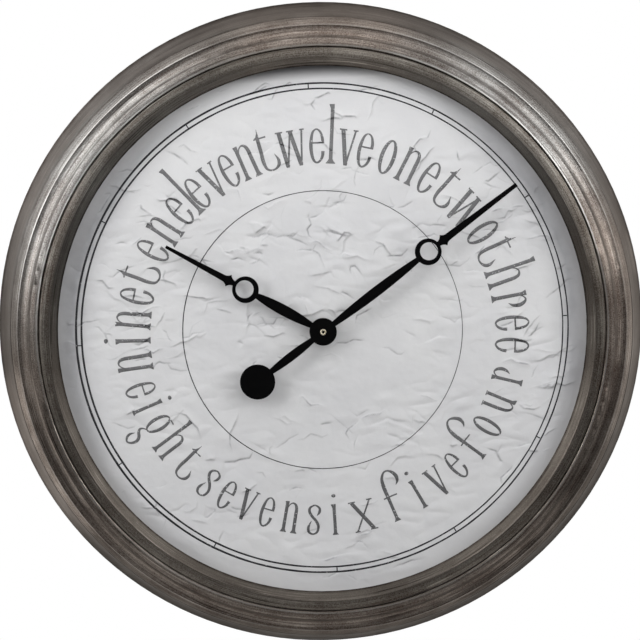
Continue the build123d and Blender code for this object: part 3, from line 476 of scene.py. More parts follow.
def worn_ink(name, dark, wear):
    """Grey printing ink with pinholes, fuller low on the dial, with painted shade in the folds."""
    f = Finish(name, roughness=0.6, specular_ior_level=0.3)
    tone = f.mix(f.spread(f.noise(120, 4, 0.7), 0.3, 0.7), dark, tuple(1.45 * c for c in dark))
    tone = f.mix(f.spread(f.z, *WORDS_SPAN, 0.5, 0.05), tone, (0.01, 0.01, 0.011))
    # painted shade in the folds
    tone = f.mix(f.spread(f.fold_shade(), 0.06, 0.55, 0.0, 0.85), tone, (0.014, 0.014, 0.015))
    holes = f.spread(f.noise(620, 2, 0.5), 0.69 - 0.06 * wear, 0.74 - 0.06 * wear)
    f.colour(f.mix(f.times(holes, wear), tone, (0.66, 0.66, 0.67)))
    return f.material


METAL_MARKS = (700, 4, 0.65)  # scale, detail and roughness of their noise
BRASS = ((0.68, 0.50, 0.22), (0.42, 0.29, 0.11))
STEEL = ((0.62, 0.62, 0.60), (0.40, 0.40, 0.385))


def plain_metal(name, light, dark, roughness=0.3):
    """Bright metal with fine handling marks and a slightly uneven tone."""
    f = Finish(name, metallic=1.0, roughness=roughness)
    cloud = f.noise(METAL_MARKS[0] / 12, 4)
    marks = f.noise(*METAL_MARKS)
    tone = f.plus(f.times(cloud, 0.6), f.times(marks, 0.4))
    f.colour(f.mix(f.spread(tone, 0.38, 0.62), dark, light))
    f.roughness(f.spread(marks, 0.3, 0.7, roughness - 0.08, roughness + 0.12))
    f.bump(marks, 0.00003, 0.4)
    return f.material


def moulded(name, colour, roughness=0.5, grain=2500):
    """Moulded plastic or rubber with a fine eroded grain."""
    f = Finish(name, roughness=roughness)
    grainy = f.noise(grain, 2, 0.5)
    cloud = f.noise(60, 3)
    f.colour(f.mix(f.spread(cloud, 0.35, 0.65), colour, tuple(0.8 * c + 0.004 for c in colour)))
    f.roughness(f.spread(grainy, 0.3, 0.7, roughness - 0.08, roughness + 0.1))
    f.bump(grainy, 0.00004, 0.5)
    return f.material


def hardboard(name):
    """Brown pressed fibreboard with a fibrous mottle."""
    f = Finish(name, roughness=0.8)
    fibres = f.noise(500, 5, 0.7, distortion=0.6)
    cloud = f.noise(16, 4, 0.6)
    base = f.mix(f.spread(cloud, 0.35, 0.65), (0.150, 0.085, 0.045), (0.215, 0.130, 0.075))
    f.colour(f.mix(f.spread(fibres, 0.42, 0.72, 0, 0.6), base, (0.33, 0.22, 0.13)))
    f.bump(fibres, 0.00015, 0.6)
    return f.material


def painted_hand(name):
    """Matt black enamel with a faint orange peel and dust."""
    f = Finish(name, roughness=0.6, specular_ior_level=0.035)
    dust = f.spread(f.noise(1500, 2, 0.5), 0.70, 0.78)
    cloud = f.spread(f.noise(70, 3), 0.3, 0.7)
    tone = f.mix(cloud, (0.0010, 0.0010, 0.0013), (0.0022, 0.0021, 0.0022))
    f.colour(f.mix(f.times(dust, 0.25), tone, (0.03, 0.03, 0.03)))
    f.roughness(f.spread(f.noise(200, 3), 0.3, 0.7, 0.50, 0.64))
    f.bump(f.noise(900, 2), 0.00003, 0.4)
    return f.material


SHADED_END = 0.0016  # length of the arbor's front end that is darkened as painted shade in the nut's bore
CELL_FOOT = 0.0014  # lengths of bare steel at the cell's two ends
CELL_CAP = 0.0030


def arbor_brass(name):
    """Turned brass, with painted shade on its front end, which sits in the nut's bore."""
    f = Finish(name, metallic=1.0, roughness=0.34)
    marks = f.noise(*METAL_MARKS)
    light, dark = BRASS
    brass = f.mix(f.spread(marks, 0.35, 0.65), dark, light)
    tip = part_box("minute_arbor")[0].y + SHADED_END
    f.colour(f.mix(f.spread(f.y, tip, tip + 0.0004, 1.0, 0.0), brass, (0.016, 0.014, 0.010)))
    f.bump(marks, 0.00003, 0.3)
    return f.material


def cell_jacket(name):
    """Plain dark sleeve with bare steel at both ends of the cell."""
    low, high = (corner.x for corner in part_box("battery_cell"))
    f = Finish(name, roughness=0.32)
    scuffs = f.noise(400, 4, 0.7)
    sleeve = f.mix(f.spread(scuffs, 0.45, 0.75), (0.035, 0.042, 0.055), (0.075, 0.082, 0.095))
    foot = f.math("LESS_THAN", f.x, low + CELL_FOOT)
    bare = f.math("MAXIMUM", foot, f.math("GREATER_THAN", f.x, high - CELL_CAP))
    f.colour(f.mix(bare, sleeve, (0.56, 0.55, 0.52)))
    f.set(f.shader, Metallic=bare)
    f.bump(scuffs, 0.00003, 0.3)
    return f.material


def circuit_green(name):
    """Green laminate with darker tracks under the lacquer."""
    f = Finish(name, roughness=0.35)
    tracks = f.add("TexBrick", offset=0.5)
    f.set(tracks, Vector=f.place, Scale=260)
    f.colour(f.mix(tracks.outputs["Fac"], (0.030, 0.125, 0.060), (0.060, 0.210, 0.095)))
    f.bump(tracks.outputs["Fac"], 0.00005, 0.5)
    return f.material


def enamelled_wire(name):
    """Fine copper wire wound round the coil's own axis."""
    f = Finish(name, roughness=0.3, metallic=0.6)
    turns = f.math("PINGPONG", f.times(f.z, 9000), 1.0)
    f.colour(f.mix(turns, (0.16, 0.045, 0.012), (0.46, 0.17, 0.05)))
    f.bump(turns, 0.00006, 0.8)
    return f.material


def make_finishes():
    """Every finish, by the material slot that it is for; the minute hand's arbor has its own."""
    pewter = spun_metal("aged_pewter")
    return {
        "frame_metal": pewter,
        "bezel_metal": pewter,
        "fibreboard": hardboard("hardboard"),
        "dial_paper": creased_paper("creased_paper"),
        "plated_steel": plain_metal("zinc_plate", *STEEL),
        "movement_plastic": moulded("black_moulding", (0.018, 0.018, 0.019)),
        "brass": plain_metal("turned_brass", *BRASS),
        "arbor": arbor_brass("arbor_brass"),
        "hand_nut_brass": plain_metal("pale_brass", (0.80, 0.74, 0.60), (0.58, 0.51, 0.36), 0.27),
        "rubber": moulded("black_rubber", (0.014, 0.014, 0.014), 0.75, 1500),
        "cell_jacket": cell_jacket("cell_sleeve"),
        "circuit_laminate": circuit_green("laminate"),
        "chip_resin": moulded("cast_resin", (0.008, 0.008, 0.009), 0.22, 900),
        "core_iron": plain_metal("soft_iron", (0.34, 0.33, 0.32), (0.20, 0.195, 0.19), 0.45),
        "coil_wire": enamelled_wire("enamelled_wire"),
        "wheel_plastic": moulded("natural_resin", (0.74, 0.74, 0.70), 0.42),
        "knob_plastic": moulded("red_moulding", (0.42, 0.030, 0.022), 0.4),
        "magnet": moulded("bonded_magnet", (0.045, 0.043, 0.042), 0.55),
        "hand_black": painted_hand("black_enamel"),
    }


def paint_nodes(finishes):
    """Give every CAD node the finish of its slot."""
    slots = {part["node"]: part["material_slot"] for part in frame["record"]["subparts"]}
    slots["minute_arbor"] = "arbor"
    for name, node in frame["nodes"].items():
        node.data.materials.clear()
        node.data.materials.append(finishes[slots[name]])


# ---- meshes ----


def new_piece(name, points, faces, material):
    """A smooth mesh object at the origin, with its place in its mesh."""
    mesh = bpy.data.meshes.new(name)
    mesh.from_pydata([tuple(p) for p in points], [], [tuple(f) for f in faces])
    mesh.materials.append(material)
    mesh.shade_smooth()
    return add_object(name, mesh)


def keep_flat_from(piece, first):
    """Shade a piece's faces flat from this one on."""
    mesh = piece.data
    mesh.polygons.foreach_set("use_smooth", np.arange(len(mesh.polygons)) < first)


def keep_fold_shade(piece, fold_shade):
    """Keep the painted fold shade of each point with the mesh, for its finish."""
    kept = piece.data.attributes.new("fold_shade", "FLOAT", "POINT")
    kept.data.foreach_set("value", fold_shade.astype(np.float32))


def rim_edges(faces):
    """The directed edges that only one face uses."""
    edges = set()
    for face in faces:
        edges.update(zip(face, (*face[1:], face[0])))
    return [(a, b) for a, b in edges if (b, a) not in edges]


def closed_sheet(name, places, faces, front, back, material):
    """A thin closed sheet facing the front, from (x, z) places and two heights of each, in mm."""
    count = len(places)
    x, z = np.tile(places, (2, 1)).T
    points = np.stack([x, -np.concatenate([front, back]), z], 1) * MM
    whole = list(faces)
    whole += [tuple(count + v for v in reversed(f)) for f in faces]
    whole += [(b, a, a + count, b + count) for a, b in rim_edges(faces)]
    piece = new_piece(name, points, whole, material)
    keep_flat_from(piece, len(faces))
    return piece


# ---- creased paper ----

PAPER_SEED = 11
PAPER_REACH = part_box("dial_paper")[1].x / MM
PAPER_REST = 0.55  # mm, middle height over the flat place
PAPER_LIMITS = (-0.30, 2.20)  # mm
CALM_MIDDLE = (9, 19)  # mm, radii between which the creases set in round the hub
CALM_RIM = (234, 246)  # and die away under the lip
BROAD_WAVES = ((0.20, 80, 60), (0.10, 26, 18))  # mm high, and their lengths across and up the dial
LONG_FOLDS = (0.34, 30, 15)
FOLD_PATCHES = (50, 50)  # lengths of the patches that the long folds come in
FINE_WAVES = (0.03, 8, 6)
CREASE_GRID = 0.6  # mm
CREASE_COUNT = 600
CREASE_CLUSTERS = 120
CLUSTER_SPREAD = (20, 14)  # mm across and up the dial
CREASE_DEPTH = 1.35  # mm, of the deepest
DEPTH_SHARE = (0.12, 1.0)  # of it, before the power that makes most folds shallow
DEPTH_POWER = 1.9
FOLD_SHADE_BY_DEPTH = (0.2, 1.9)  # painted shade of a fold by each mm of its depth
CREASE_RUNS = (2, 6)  # from two to five straight runs in a fold
CREASE_RUN = (2.5, 10.0)  # mm, their lengths
CREASE_TILT = radians(22)  # spread of a fold's direction about the level
CREASE_BEND = radians(27)  # and of its turn from run to run
CREASE_KEEPS = 0.7  # share of its direction that it keeps
UPRIGHT_SHARE = 0.10  # share of the folds that start up the dial
SHORT_FALL = (0.45, 0.8)  # mm, lengths over which a fold falls away on its two sides
LONG_FALL = (2, 8)
SHORT_FALL_DOWN = 0.72  # share of the folds whose short fall faces down
FOLD_SHADE_REACH = 0.7  # mm either side of a fold
PAPER_RINGS = 275
PAPER_HOLE_RINGS = 3  # left out round the hub
PAPER_HIDDEN_RINGS = 2  # under the lip
PAPER_GAP = 0.02  # mm, kept free behind the sheet
PAPER_SEEN = 247.5  # mm, radius out to which the net is fine
NET_RINGS = (0, PAPER_RINGS - PAPER_HIDDEN_RINGS, PAPER_RINGS)
NET_RADII = (0, PAPER_SEEN, PAPER_REACH)


def crease_path(rng, start):
    """A jagged line of a few straight runs, mostly lying across the dial."""
    heading = rng.normal(0, CREASE_TILT) + (pi / 2 if rng.random() < UPRIGHT_SHARE else 0)
    here = np.array(start)
    path = [here]
    for _ in range(rng.integers(*CREASE_RUNS)):
        here = here + rng.uniform(*CREASE_RUN) * np.array([cos(heading), sin(heading)])
        path.append(here)
        heading = CREASE_KEEPS * heading + rng.normal(0, CREASE_BEND)
    return np.array(path)


def add_crease(field, fold_shade, axis, path, depth, steep, gentle, fold_darkness):
    """Fold the paper along a path, with its own fall on each side, and paint shade along the fold.
    """
    margin = 3.0 * max(gentle, steep)
    low = np.searchsorted(axis, path.min(0) - margin)
    high = np.searchsorted(axis, path.max(0) + margin)
    if (high <= low).any():
        return
    here = (slice(low[0], high[0]), slice(low[1], high[1]))
    x, z = np.meshgrid(axis[here[0]], axis[here[1]], indexing="ij")
    nearest = np.full(x.shape, np.inf)
    side = np.zeros(x.shape)
    along = np.zeros(x.shape)
    for k in range(len(path) - 1):
        run = path[k + 1] - path[k]
        length = np.hypot(*run)
        dx, dz = x - path[k, 0], z - path[k, 1]
        share = np.clip((dx * run[0] + dz * run[1]) / length**2, 0, 1)
        gap = np.hypot(dx - share * run[0], dz - share * run[1])
        closer = gap < nearest
        nearest = np.where(closer, gap, nearest)
        side = np.where(closer, np.sign(run[0] * dz - run[1] * dx), side)
        along = np.where(closer, (k + share) / (len(path) - 1), along)
    width = np.where(side > 0, steep, gentle)
    fade = np.sin(pi * np.clip(along, 0.02, 0.98)) ** 0.7
    field[here] += depth * fade * np.exp(-nearest / width)
    # painted shade along the fold's line
    fold_shade[here] = np.maximum(fold_shade[here], fold_darkness * fade * np.exp(-((nearest / FOLD_SHADE_REACH) ** 2)))


def soft_field(rng, axis, across, up):
    """Smooth random heights with about these wavelengths and a spread of 1."""
    spectrum = np.fft.rfft2(rng.standard_normal((len(axis), len(axis))))
    fx = np.fft.fftfreq(len(axis), CREASE_GRID)[:, None]
    fz = np.fft.rfftfreq(len(axis), CREASE_GRID)[None, :]
    kept = np.exp(-((across * fx) ** 2) - (up * fz) ** 2)
    field = np.fft.irfft2(spectrum * kept, s=(len(axis),) * 2)
    return field / field.std()


def make_paper_heights():
    """Heights of the creased paper in mm and the painted shade in its folds, both on a square grid.
    """
    rng = np.random.default_rng(PAPER_SEED)
    axis = np.arange(-PAPER_REACH - 2, PAPER_REACH + 3, CREASE_GRID)
    field = sum(height * soft_field(rng, axis, *lengths) for height, *lengths in BROAD_WAVES)
    patches = np.clip(0.5 + 0.5 * soft_field(rng, axis, *FOLD_PATCHES), 0, 1)
    field += LONG_FOLDS[0] * patches * (abs(soft_field(rng, axis, *LONG_FOLDS[1:])) - 0.8)
    field += FINE_WAVES[0] * soft_field(rng, axis, *FINE_WAVES[1:])
    fold_shade = np.zeros_like(field)
    angle = 2 * pi * rng.random(CREASE_CLUSTERS)
    distance = 0.95 * PAPER_REACH * rng.random(CREASE_CLUSTERS) ** 0.5
    middles = np.stack([distance * np.cos(angle), distance * np.sin(angle)], 1)
    for _ in range(CREASE_COUNT):
        start = middles[rng.integers(CREASE_CLUSTERS)] + rng.normal(0, CLUSTER_SPREAD)
        path = crease_path(rng, start)
        depth = CREASE_DEPTH * rng.uniform(*DEPTH_SHARE) ** DEPTH_POWER
        steep, gentle = rng.uniform(*SHORT_FALL), rng.uniform(*LONG_FALL)
        # how dark the fold's painted shade is, from its depth
        fold_darkness = min(1.0, depth * rng.uniform(*FOLD_SHADE_BY_DEPTH))
        if rng.random() < SHORT_FALL_DOWN:
            if rng.random() < 0.5:
                depth = -depth
            else:
                steep, gentle = gentle, steep
        elif rng.random() < 0.5:
            depth, steep, gentle = -depth, gentle, steep
        add_crease(field, fold_shade, axis, path, depth, steep, gentle, fold_darkness)
    x, z = np.meshgrid(axis, axis, indexing="ij")
    radius = np.hypot(x, z)
    calm = np.interp(radius, CALM_MIDDLE, (0, 1)) * np.interp(radius, CALM_RIM, (1, 0))
    return axis, np.clip(PAPER_REST + field, *PAPER_LIMITS) * calm, fold_shade * calm


def make_paper_net():
    """Places in mm of a square net drawn out to a disc, and the height and painted fold shade of
    each.
    """
    n = PAPER_RINGS
    a, b = np.meshgrid(np.arange(-n, n + 1), np.arange(-n, n + 1), indexing="ij")
    wide = abs(a) > abs(b)
    ring = np.where(wide, a, b)
    safe = np.where(ring == 0, 1, ring)
    angle = np.where(wide, pi / 4 * b / safe, pi / 2 - pi / 4 * a / safe)
    radius = np.sign(ring) * np.interp(abs(ring), NET_RINGS, NET_RADII)
    places = np.stack([radius * np.cos(angle), radius * np.sin(angle)], -1)
    axis, field, fold_shade = make_paper_heights()
    at = ((places - axis[0]) / CREASE_GRID).transpose(2, 0, 1)
    return places, DIAL_FRONT / MM + between(field, *at), between(fold_shade, *at)


def between(grid, u, v):
    """A value between the entries of a square grid."""
    i = np.clip(np.floor(u).astype(int), 0, grid.shape[0] - 2)
    j = np.clip(np.floor(v).astype(int), 0, grid.shape[1] - 2)
    u, v = u - i, v - j
    low = grid[i, j] * (1 - v) + grid[i, j + 1] * v
    high = grid[i + 1, j] * (1 - v) + grid[i + 1, j + 1] * v
    return low * (1 - u) + high * u


PAPER_PLACES, PAPER_HEIGHTS, PAPER_FOLD_SHADE = make_paper_net()


def on_paper(net, x, z):
    """A value of the paper's net, its height or its painted fold shade, at places in mm."""
    ring = np.interp(np.hypot(x, z), NET_RADII, NET_RINGS)
    wide = abs(x) > abs(z)
    ring = ring * np.sign(np.where(wide, x, z))
    share = np.arctan(np.where(wide, z, x) / np.where(wide, x, z)) * 4 / pi
    a, b = np.where(wide, ring, ring * share), np.where(wide, ring * share, ring)
    return between(net, a + PAPER_RINGS, b + PAPER_RINGS)


def annulus_back(outer, inner):
    """Triangles of a flat back between two rings of points, each listed anticlockwise."""
    faces, i, j = [], 0, 0
    while i < len(outer) or j < len(inner):
        a, b = outer[i % len(outer)], inner[j % len(inner)]
        if (i + 1) * len(inner) <= (j + 1) * len(outer):
            i += 1
            faces.append((outer[i % len(outer)], a, b))
        else:
            j += 1
            faces.append((b, inner[j % len(inner)], a))
    return faces


def make_paper(material):
    """The printed sheet on the board: its creased front, its edges and a flat back."""
    side = 2 * PAPER_RINGS + 1
    i, j = np.indices((side - 1, side - 1))
    ring = np.maximum(abs(i + 0.5 - PAPER_RINGS), abs(j + 0.5 - PAPER_RINGS))
    corner = (i * side + j)[ring > PAPER_HOLE_RINGS]
    faces = np.stack([corner, corner + side, corner + side + 1, corner + 1], 1)
    used, faces = np.unique(faces, return_inverse=True)
    faces = faces.reshape(-1, 4).tolist()
    places = PAPER_PLACES.reshape(-1, 2)[used]
    heights = PAPER_HEIGHTS.ravel()[used]
    rim = rim_edges(faces)
    edge = np.unique(np.array(rim))
    behind = {v: len(used) + k for k, v in enumerate(edge.tolist())}
    reach = np.hypot(*places[edge].T)
    turn = np.arctan2(*places[edge].T[::-1])
    far = reach > PAPER_REACH / 2
    rings = [
        [behind[v] for v in edge[where][np.argsort(turn[where])].tolist()] for where in (far, ~far)
    ]
    front_faces = len(faces)
    faces += [(b, a, behind[a], behind[b]) for a, b in rim] + annulus_back(*rings)
    x, z = np.concatenate([places, places[edge]]).T
    heights = np.concatenate([heights, np.full(len(edge), BOARD_FRONT / MM + PAPER_GAP)])
    paper = new_piece("dial_sheet", np.stack([x, -heights, z], 1) * MM, faces, material)
    keep_flat_from(paper, front_faces)
    # painted shade of the folds on the front, none on the edges and back
    keep_fold_shade(paper, np.concatenate([PAPER_FOLD_SHADE.ravel()[used], np.zeros(len(edge))]))
    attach(paper, "clock")
    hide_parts("dial_paper")


# ---- nut on the hands ----

NUT_BORE = 1.32  # mm, radii and heights of the turned nut
NUT_CREST = 2.15
NUT_OUTSIDE = 2.93
NUT_SHOULDER = 1.10
NUT_DISH = 1.20
NUT_CHAMFER = 0.15
NUT_GAP = 0.01  # kept free under the nut
NUT_SEGMENTS = 72
NUT_CREST_STEPS = 8
NUT_DISH_STEPS = 7


def make_hand_nut(material):
    """Round-topped turned nut with a dished bore."""
    foot = -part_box("hand_nut")[1].y / MM
    height = node_front("hand_nut") / MM - foot - 2 * NUT_GAP
    profile = [(NUT_BORE, NUT_GAP), (NUT_OUTSIDE - NUT_CHAMFER, NUT_GAP)]
    profile.append((NUT_OUTSIDE, NUT_GAP + NUT_CHAMFER))
    for k in range(NUT_CREST_STEPS + 1):
        turn = pi / 2 * k / NUT_CREST_STEPS
        out = NUT_CREST + (NUT_OUTSIDE - NUT_CREST) * cos(turn)
        profile.append((out, NUT_SHOULDER + (height - NUT_SHOULDER) * sin(turn)))
    for k in range(1, NUT_DISH_STEPS + 1):
        turn = pi / 2 * k / NUT_DISH_STEPS
        out = NUT_CREST - (NUT_CREST - NUT_BORE) * sin(turn)
        profile.append((out, NUT_DISH + (height - NUT_DISH) * cos(turn)))
    rows = len(profile)
    points, faces = [], []
    for k in range(NUT_SEGMENTS):
        turn = 2 * pi * k / NUT_SEGMENTS
        points += [(r * MM * sin(turn), -(foot + h) * MM, r * MM * cos(turn)) for r, h in profile]
        here, there = k * rows, (k + 1) % NUT_SEGMENTS * rows
        for row in range(rows):
            after = (row + 1) % rows
            faces.append((here + row, here + after, there + after, there + row))
    nut = new_piece("hub_nut", points, faces, material)
    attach(nut, "minute")
    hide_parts("hand_nut")


# ---- print on the dial ----

INK_LIFT = 0.12  # mm above the paper
INK_ROOT = 0.03
GLYPH_UNITS = 100  # in the height of a small letter; the sizes below are in these units
CURVE_STEP = 3.0
STEM = 10.6  # width of an upright
HAIR = 5.2  # and of a thin stroke
JOIN_WITHIN = 0.02
PEN_LANES = (-1, -0.34, 0.34, 1)  # across a stroke, from edge to edge
OVAL_POINTS = 12


def curve_through(points, closed):
    """Catmull-Rom curve through (x, y, width) points, in glyph units."""
    points = [np.array(p, float) for p in points]
    count = len(points)
    spans = count if closed else count - 1
    line = []
    for k in range(spans):
        p1, p2 = points[k], points[(k + 1) % count]
        p0 = points[k - 1] if closed or k else 2 * p1 - p2
        p3 = points[(k + 2) % count] if closed or k + 2 < count else 2 * p2 - p1
        pieces = max(2, int(np.hypot(*(p2 - p1)[:2]) / CURVE_STEP))
        for t in np.arange(pieces) / pieces:
            line.append(
                0.5 * (2 * p1 + (p2 - p0) * t + (2 * p0 - 5 * p1 + 4 * p2 - p3) * t**2
                       + (3 * p1 - p0 - 3 * p2 + p3) * t**3)
            )
    if not closed:
        line.append(points[-1])
    return np.array(line)


def pen(*points, closed=False):
    """Quads of a pen stroke whose width swells and thins along its curve."""
    line = curve_through(points, closed)
    if closed:
        ahead, behind = np.roll(line, -1, 0), np.roll(line, 1, 0)
    else:
        ahead = np.vstack([line[1:], line[-1:]])
        behind = np.vstack([line[:1], line[:-1]])
    run = (ahead - behind)[:, :2]
    run /= np.hypot(*run.T)[:, None]
    normal = np.stack([-run[:, 1], run[:, 0]], 1)
    lanes = [line[:, :2] + share * normal * line[:, 2:] / 2 for share in PEN_LANES]
    count = len(line)
    quads = []
    for k in range(count if closed else count - 1):
        n = (k + 1) % count
        for low, high in zip(lanes[:-1], lanes[1:]):
            quads.append([low[k], low[n], high[n], high[k]])
    return quads


def ring_pen(x, y, half_width, half_height, thin, thick):
    """A closed upright oval, thick at its sides."""
    points = []
    for k in range(OVAL_POINTS):
        turn = 2 * pi * k / OVAL_POINTS
        width = thin + (thick - thin) * abs(cos(turn)) ** 1.3
        points.append((x + half_width * cos(turn), y + half_height * sin(turn), width))
    return pen(*points, closed=True)


def foot_at(x, half=11.5):
    """The flared foot of an upright."""
    return pen((x, 0, 2 * half), (x, 3, 1.78 * half), (x, 8, 1.15 * half), (x, 15, STEM - 1))


def stem(x, high, foot=11.5, head=None):
    """An upright with a flared foot and a small flag at its head."""
    half = STEM / 2
    quads = pen((x, 2, STEM), (x, high / 2, STEM - 0.6), (x, high - 3, STEM))
    if foot:
        quads += foot_at(x, foot)
    if head:
        left, right = head
        tip, end = (x + left, high - 2.5), (x + right, high - 1)
        quads.append([tip, end, (x + right, high + 1), (x + left - 0.5, high)])
        quads.append([(x - half, high - 12), (x + half, high - 12), end, tip])
    return quads


def serif(x, y, half):
    """The quad of a slab across the end of a diagonal."""
    return [(x - half, y - 2), (x + half, y - 2), (x + half, y + 2), (x - half, y + 2)]


def diagonal(start, end, width):
    """A straight stroke."""
    middle = ((start[0] + end[0]) / 2, (start[1] + end[1]) / 2)
    return pen((*start, width), (*middle, width), (*end, width))


def arch(left, right, lean=0.0):
    """Springs thin from one upright and comes down thick as the next."""
    return pen(
        (left, 80, 2.5), (left + 5, 91, 3.4), (left + 14, 97.5, 4.6), (right - 5, 93, 8),
        (right - 0.5, 80, 10), (right, 62, STEM), (right + lean / 2, 30, STEM),
        (right + lean, 4, STEM),
    )


# each letter's width and the quads of its strokes
GLYPHS = {
    "e": (43, [
        *pen(
            (39, 58, 8.5), (38, 74, 8), (32, 91, 6), (21.5, 97.5, 4.5), (11, 88, 6.5),
            (5.5, 58, 9.6), (6.5, 30, 9.2), (12, 10, 7), (21, 2.8, 5.5), (31, 9, 6.5), (37, 21, 8),
            (39, 35, 9.5),
        ),
        *pen((6, 59, 4.6), (24, 59, 4.6), (43, 59.5, 5)),
    ]),
    "f": (70, [
        *pen(
            (15, 80, 11), (15, 118, 12), (19.5, 146, 9), (32, 163, 6), (46, 165, 5.5),
            (59, 154, 9.5), (66, 138, 11.5), (63, 122, 8), (54, 112, 1),
        ),
        *stem(15, 84, foot=11),
        *pen((0, 83, 4.5), (22, 83.5, 4.8), (46, 83, 4.5)),
    ]),
    "g": (48, [
        *ring_pen(23, 57, 17.5, 41, 4.5, 10.5),
        *pen(
            (22, 17, 3.5), (12, 8, 4.5), (8, -2, 7), (16, -11, 9), (28, -17, 10), (36.5, -29, 10),
            (34, -47, 7.5), (23, -58, 5.5), (11, -51, 7.5), (6.5, -38, 7.5), (11, -22, 1),
        ),
        *pen((24, 98, 4), (36, 98.5, 4.2), (49, 98, 4.6)),
    ]),
    "h": (57, [*stem(11.5, 150, head=(-9, 5.3)), *arch(15, 45, 1.5), *foot_at(46.5)]),
    "i": (19, [
        *stem(9.5, 100, foot=9.5, head=(-9.5, 6)),
        *pen((9, 122.5, 4), (9.4, 124.5, 11), (9.8, 128, 13.6), (9.6, 131.5, 11), (9.4, 133.5, 4)),
    ]),
    "l": (28, stem(14, 168, foot=14, head=(-9, 5.3))),
    "n": (55, [
        *stem(11, 101, foot=10.5, head=(-7, 5.8)), *arch(14.5, 43, 1.5), *foot_at(44.5, 10.8),
    ]),
    "o": (44, ring_pen(22, 50, 17.2, 48, 5.2, 10.6)),
    "r": (47, [
        *stem(11.5, 101, head=(-9, 5.8)),
        *pen(
            (14, 80, 2.5), (19, 91, 3.6), (28, 97, 5.2), (37, 90, 9), (42, 75, 11), (39, 58, 8),
            (31, 46, 1),
        ),
    ]),
    "s": (43, pen(
        (31, 64, 1.5), (38, 74, 8), (38.5, 88, 7.5), (24, 97.5, 5), (9, 90, 7), (6.5, 77, 9),
        (15, 62, 9), (29, 47, 9), (37.5, 29, 8.5), (34, 10, 7), (21, 2.8, 5.2), (8, 9, 8),
        (5.5, 25, 8.5), (14, 46, 1.5),
    )),
    "t": (58, [
        *pen(
            (14.5, 126, 0.8), (13.5, 114, 3.5), (11, 99, 9.5), (10.5, 60, 10.3), (9.5, 32, 10),
            (13.5, 11, 7.5), (25, 3, 5.2), (39, 4, 5.8), (50, 13, 9.5), (52.5, 25, 8.5),
            (49, 37, 4), (45.5, 46, 0.8),
        ),
        [(-1, 97), (16, 97), (16, 101), (-1, 100.5)],
        [(0, 100), (16, 100), (15.5, 112), (11, 108)],
        *pen((2, 99, 4), (18, 99, 4.2), (35, 99, 4.6)),
    ]),
    "u": (54, [
        *pen(
            (10.5, 97, STEM), (11, 50, STEM), (13.5, 20, 9.5), (22, 5.5, 6.5), (32, 4.5, 4.5),
            (40, 16, 3),
        ),
        *stem(44.5, 100, foot=None),
        [(1, 97.5), (17, 98.5), (17, 101.5), (0.5, 100.5)],
        [(35, 97.5), (51, 98.5), (51, 101.5), (34.5, 100.5)],
        [(39.5, 0), (55, -2), (55, 2), (49.5, 12)],
    ]),
    "v": (54, [
        *diagonal((10, 99), (27.5, 1), 11.5), *diagonal((28.5, 3), (46.5, 98), HAIR),
        serif(10.5, 99, 10.5), serif(46.5, 99, 7), [(22.5, -2), (32, -2), (33, 6), (21, 6)],
    ]),
    "w": (83, [
        *diagonal((10, 99), (22.5, 1), 11.5), *diagonal((24, 3), (40.5, 88), HAIR),
        *diagonal((42, 99), (60, 1), 11.5), *diagonal((62, 3), (76, 98), HAIR),
        serif(10.5, 99, 10.5), serif(42, 99, 10), serif(76.5, 99, 6.5),
        [(18, -2), (27, -2), (28, 6), (16.5, 6)], [(55.5, -2), (65, -2), (66, 6), (54, 6)],
    ]),
    "x": (80, [
        *diagonal((11, 98), (67, 2), 12), *diagonal((70, 98), (13, 2), HAIR),
        serif(12, 99, 11.5), serif(69.5, 99, 9.5), serif(13, 1, 8), serif(68, 1, 12),
    ]),
}


def united(quads):
    """One flat net from overlapping quads: points and triangles without overlaps."""
    points = [Vector(corner) for quad in quads for corner in quad]
    faces = [list(range(4 * k, 4 * k + 4)) for k in range(len(quads))]
    points, _, faces, _, _, sources = delaunay_2d_cdt(points, [], faces, 1, JOIN_WITHIN)
    faces = [face for face, source in zip(faces, sources) if source]
    return np.array([tuple(p) for p in points]), faces


# where each word's letters stand, in degrees clockwise from 12 about the words' own centre
UPPER_WORDS = {
    "nine": (-94.5, -87.85, -81.4, -74.35),
    "ten": (-67.05, -59.7, -52.45),
    "eleven": (-45.25, -40.6, -37.7, -31.55, -26.15, -20.0),
    "twelve": (-13.25, -5.95, 1.45, 5.8, 10.6, 16.05),
    "one": (23.1, 30.15, 36.95),
    "two": (44.0, 51.85, 60.35),
    "three": (67.55, 74.9, 82.65, 89.5, 96.3),
}
LOWER_WORDS = {
    "four": (129.8, 123.6, 115.8, 107.2),
    "five": (160.1, 153.2, 146.15, 138.8),
    "six": (186.15, 179.8, 171.15),
    "seven": (-139.6, -146.25, -153.0, -159.45, -166.75),
    "eight": (-104.3, -109.9, -116.05, -123.1, -131.7),
}
# centre below the dial's, radius of the baseline and height of a small letter, all in mm
UPPER_SETTING = (5.2, 160.9, 32.6)
LOWER_SETTING = (0.8, 193.6, 29.3)


def dial_place(degrees, out, across):
    """Place at a distance out along a direction from the middle, and to the right of it."""
    turn = radians(degrees)
    return out * sin(turn) + across * cos(turn), out * cos(turn) - across * sin(turn)


def print_layer(name, places, faces, material):
    """A thin layer of ink that follows the creases and takes their painted shade."""
    front = on_paper(PAPER_HEIGHTS, *places.T)
    layer = closed_sheet(name, places, faces, front + INK_LIFT, front + INK_ROOT, material)
    keep_fold_shade(layer, np.tile(on_paper(PAPER_FOLD_SHADE, *places.T), 2))
    return layer


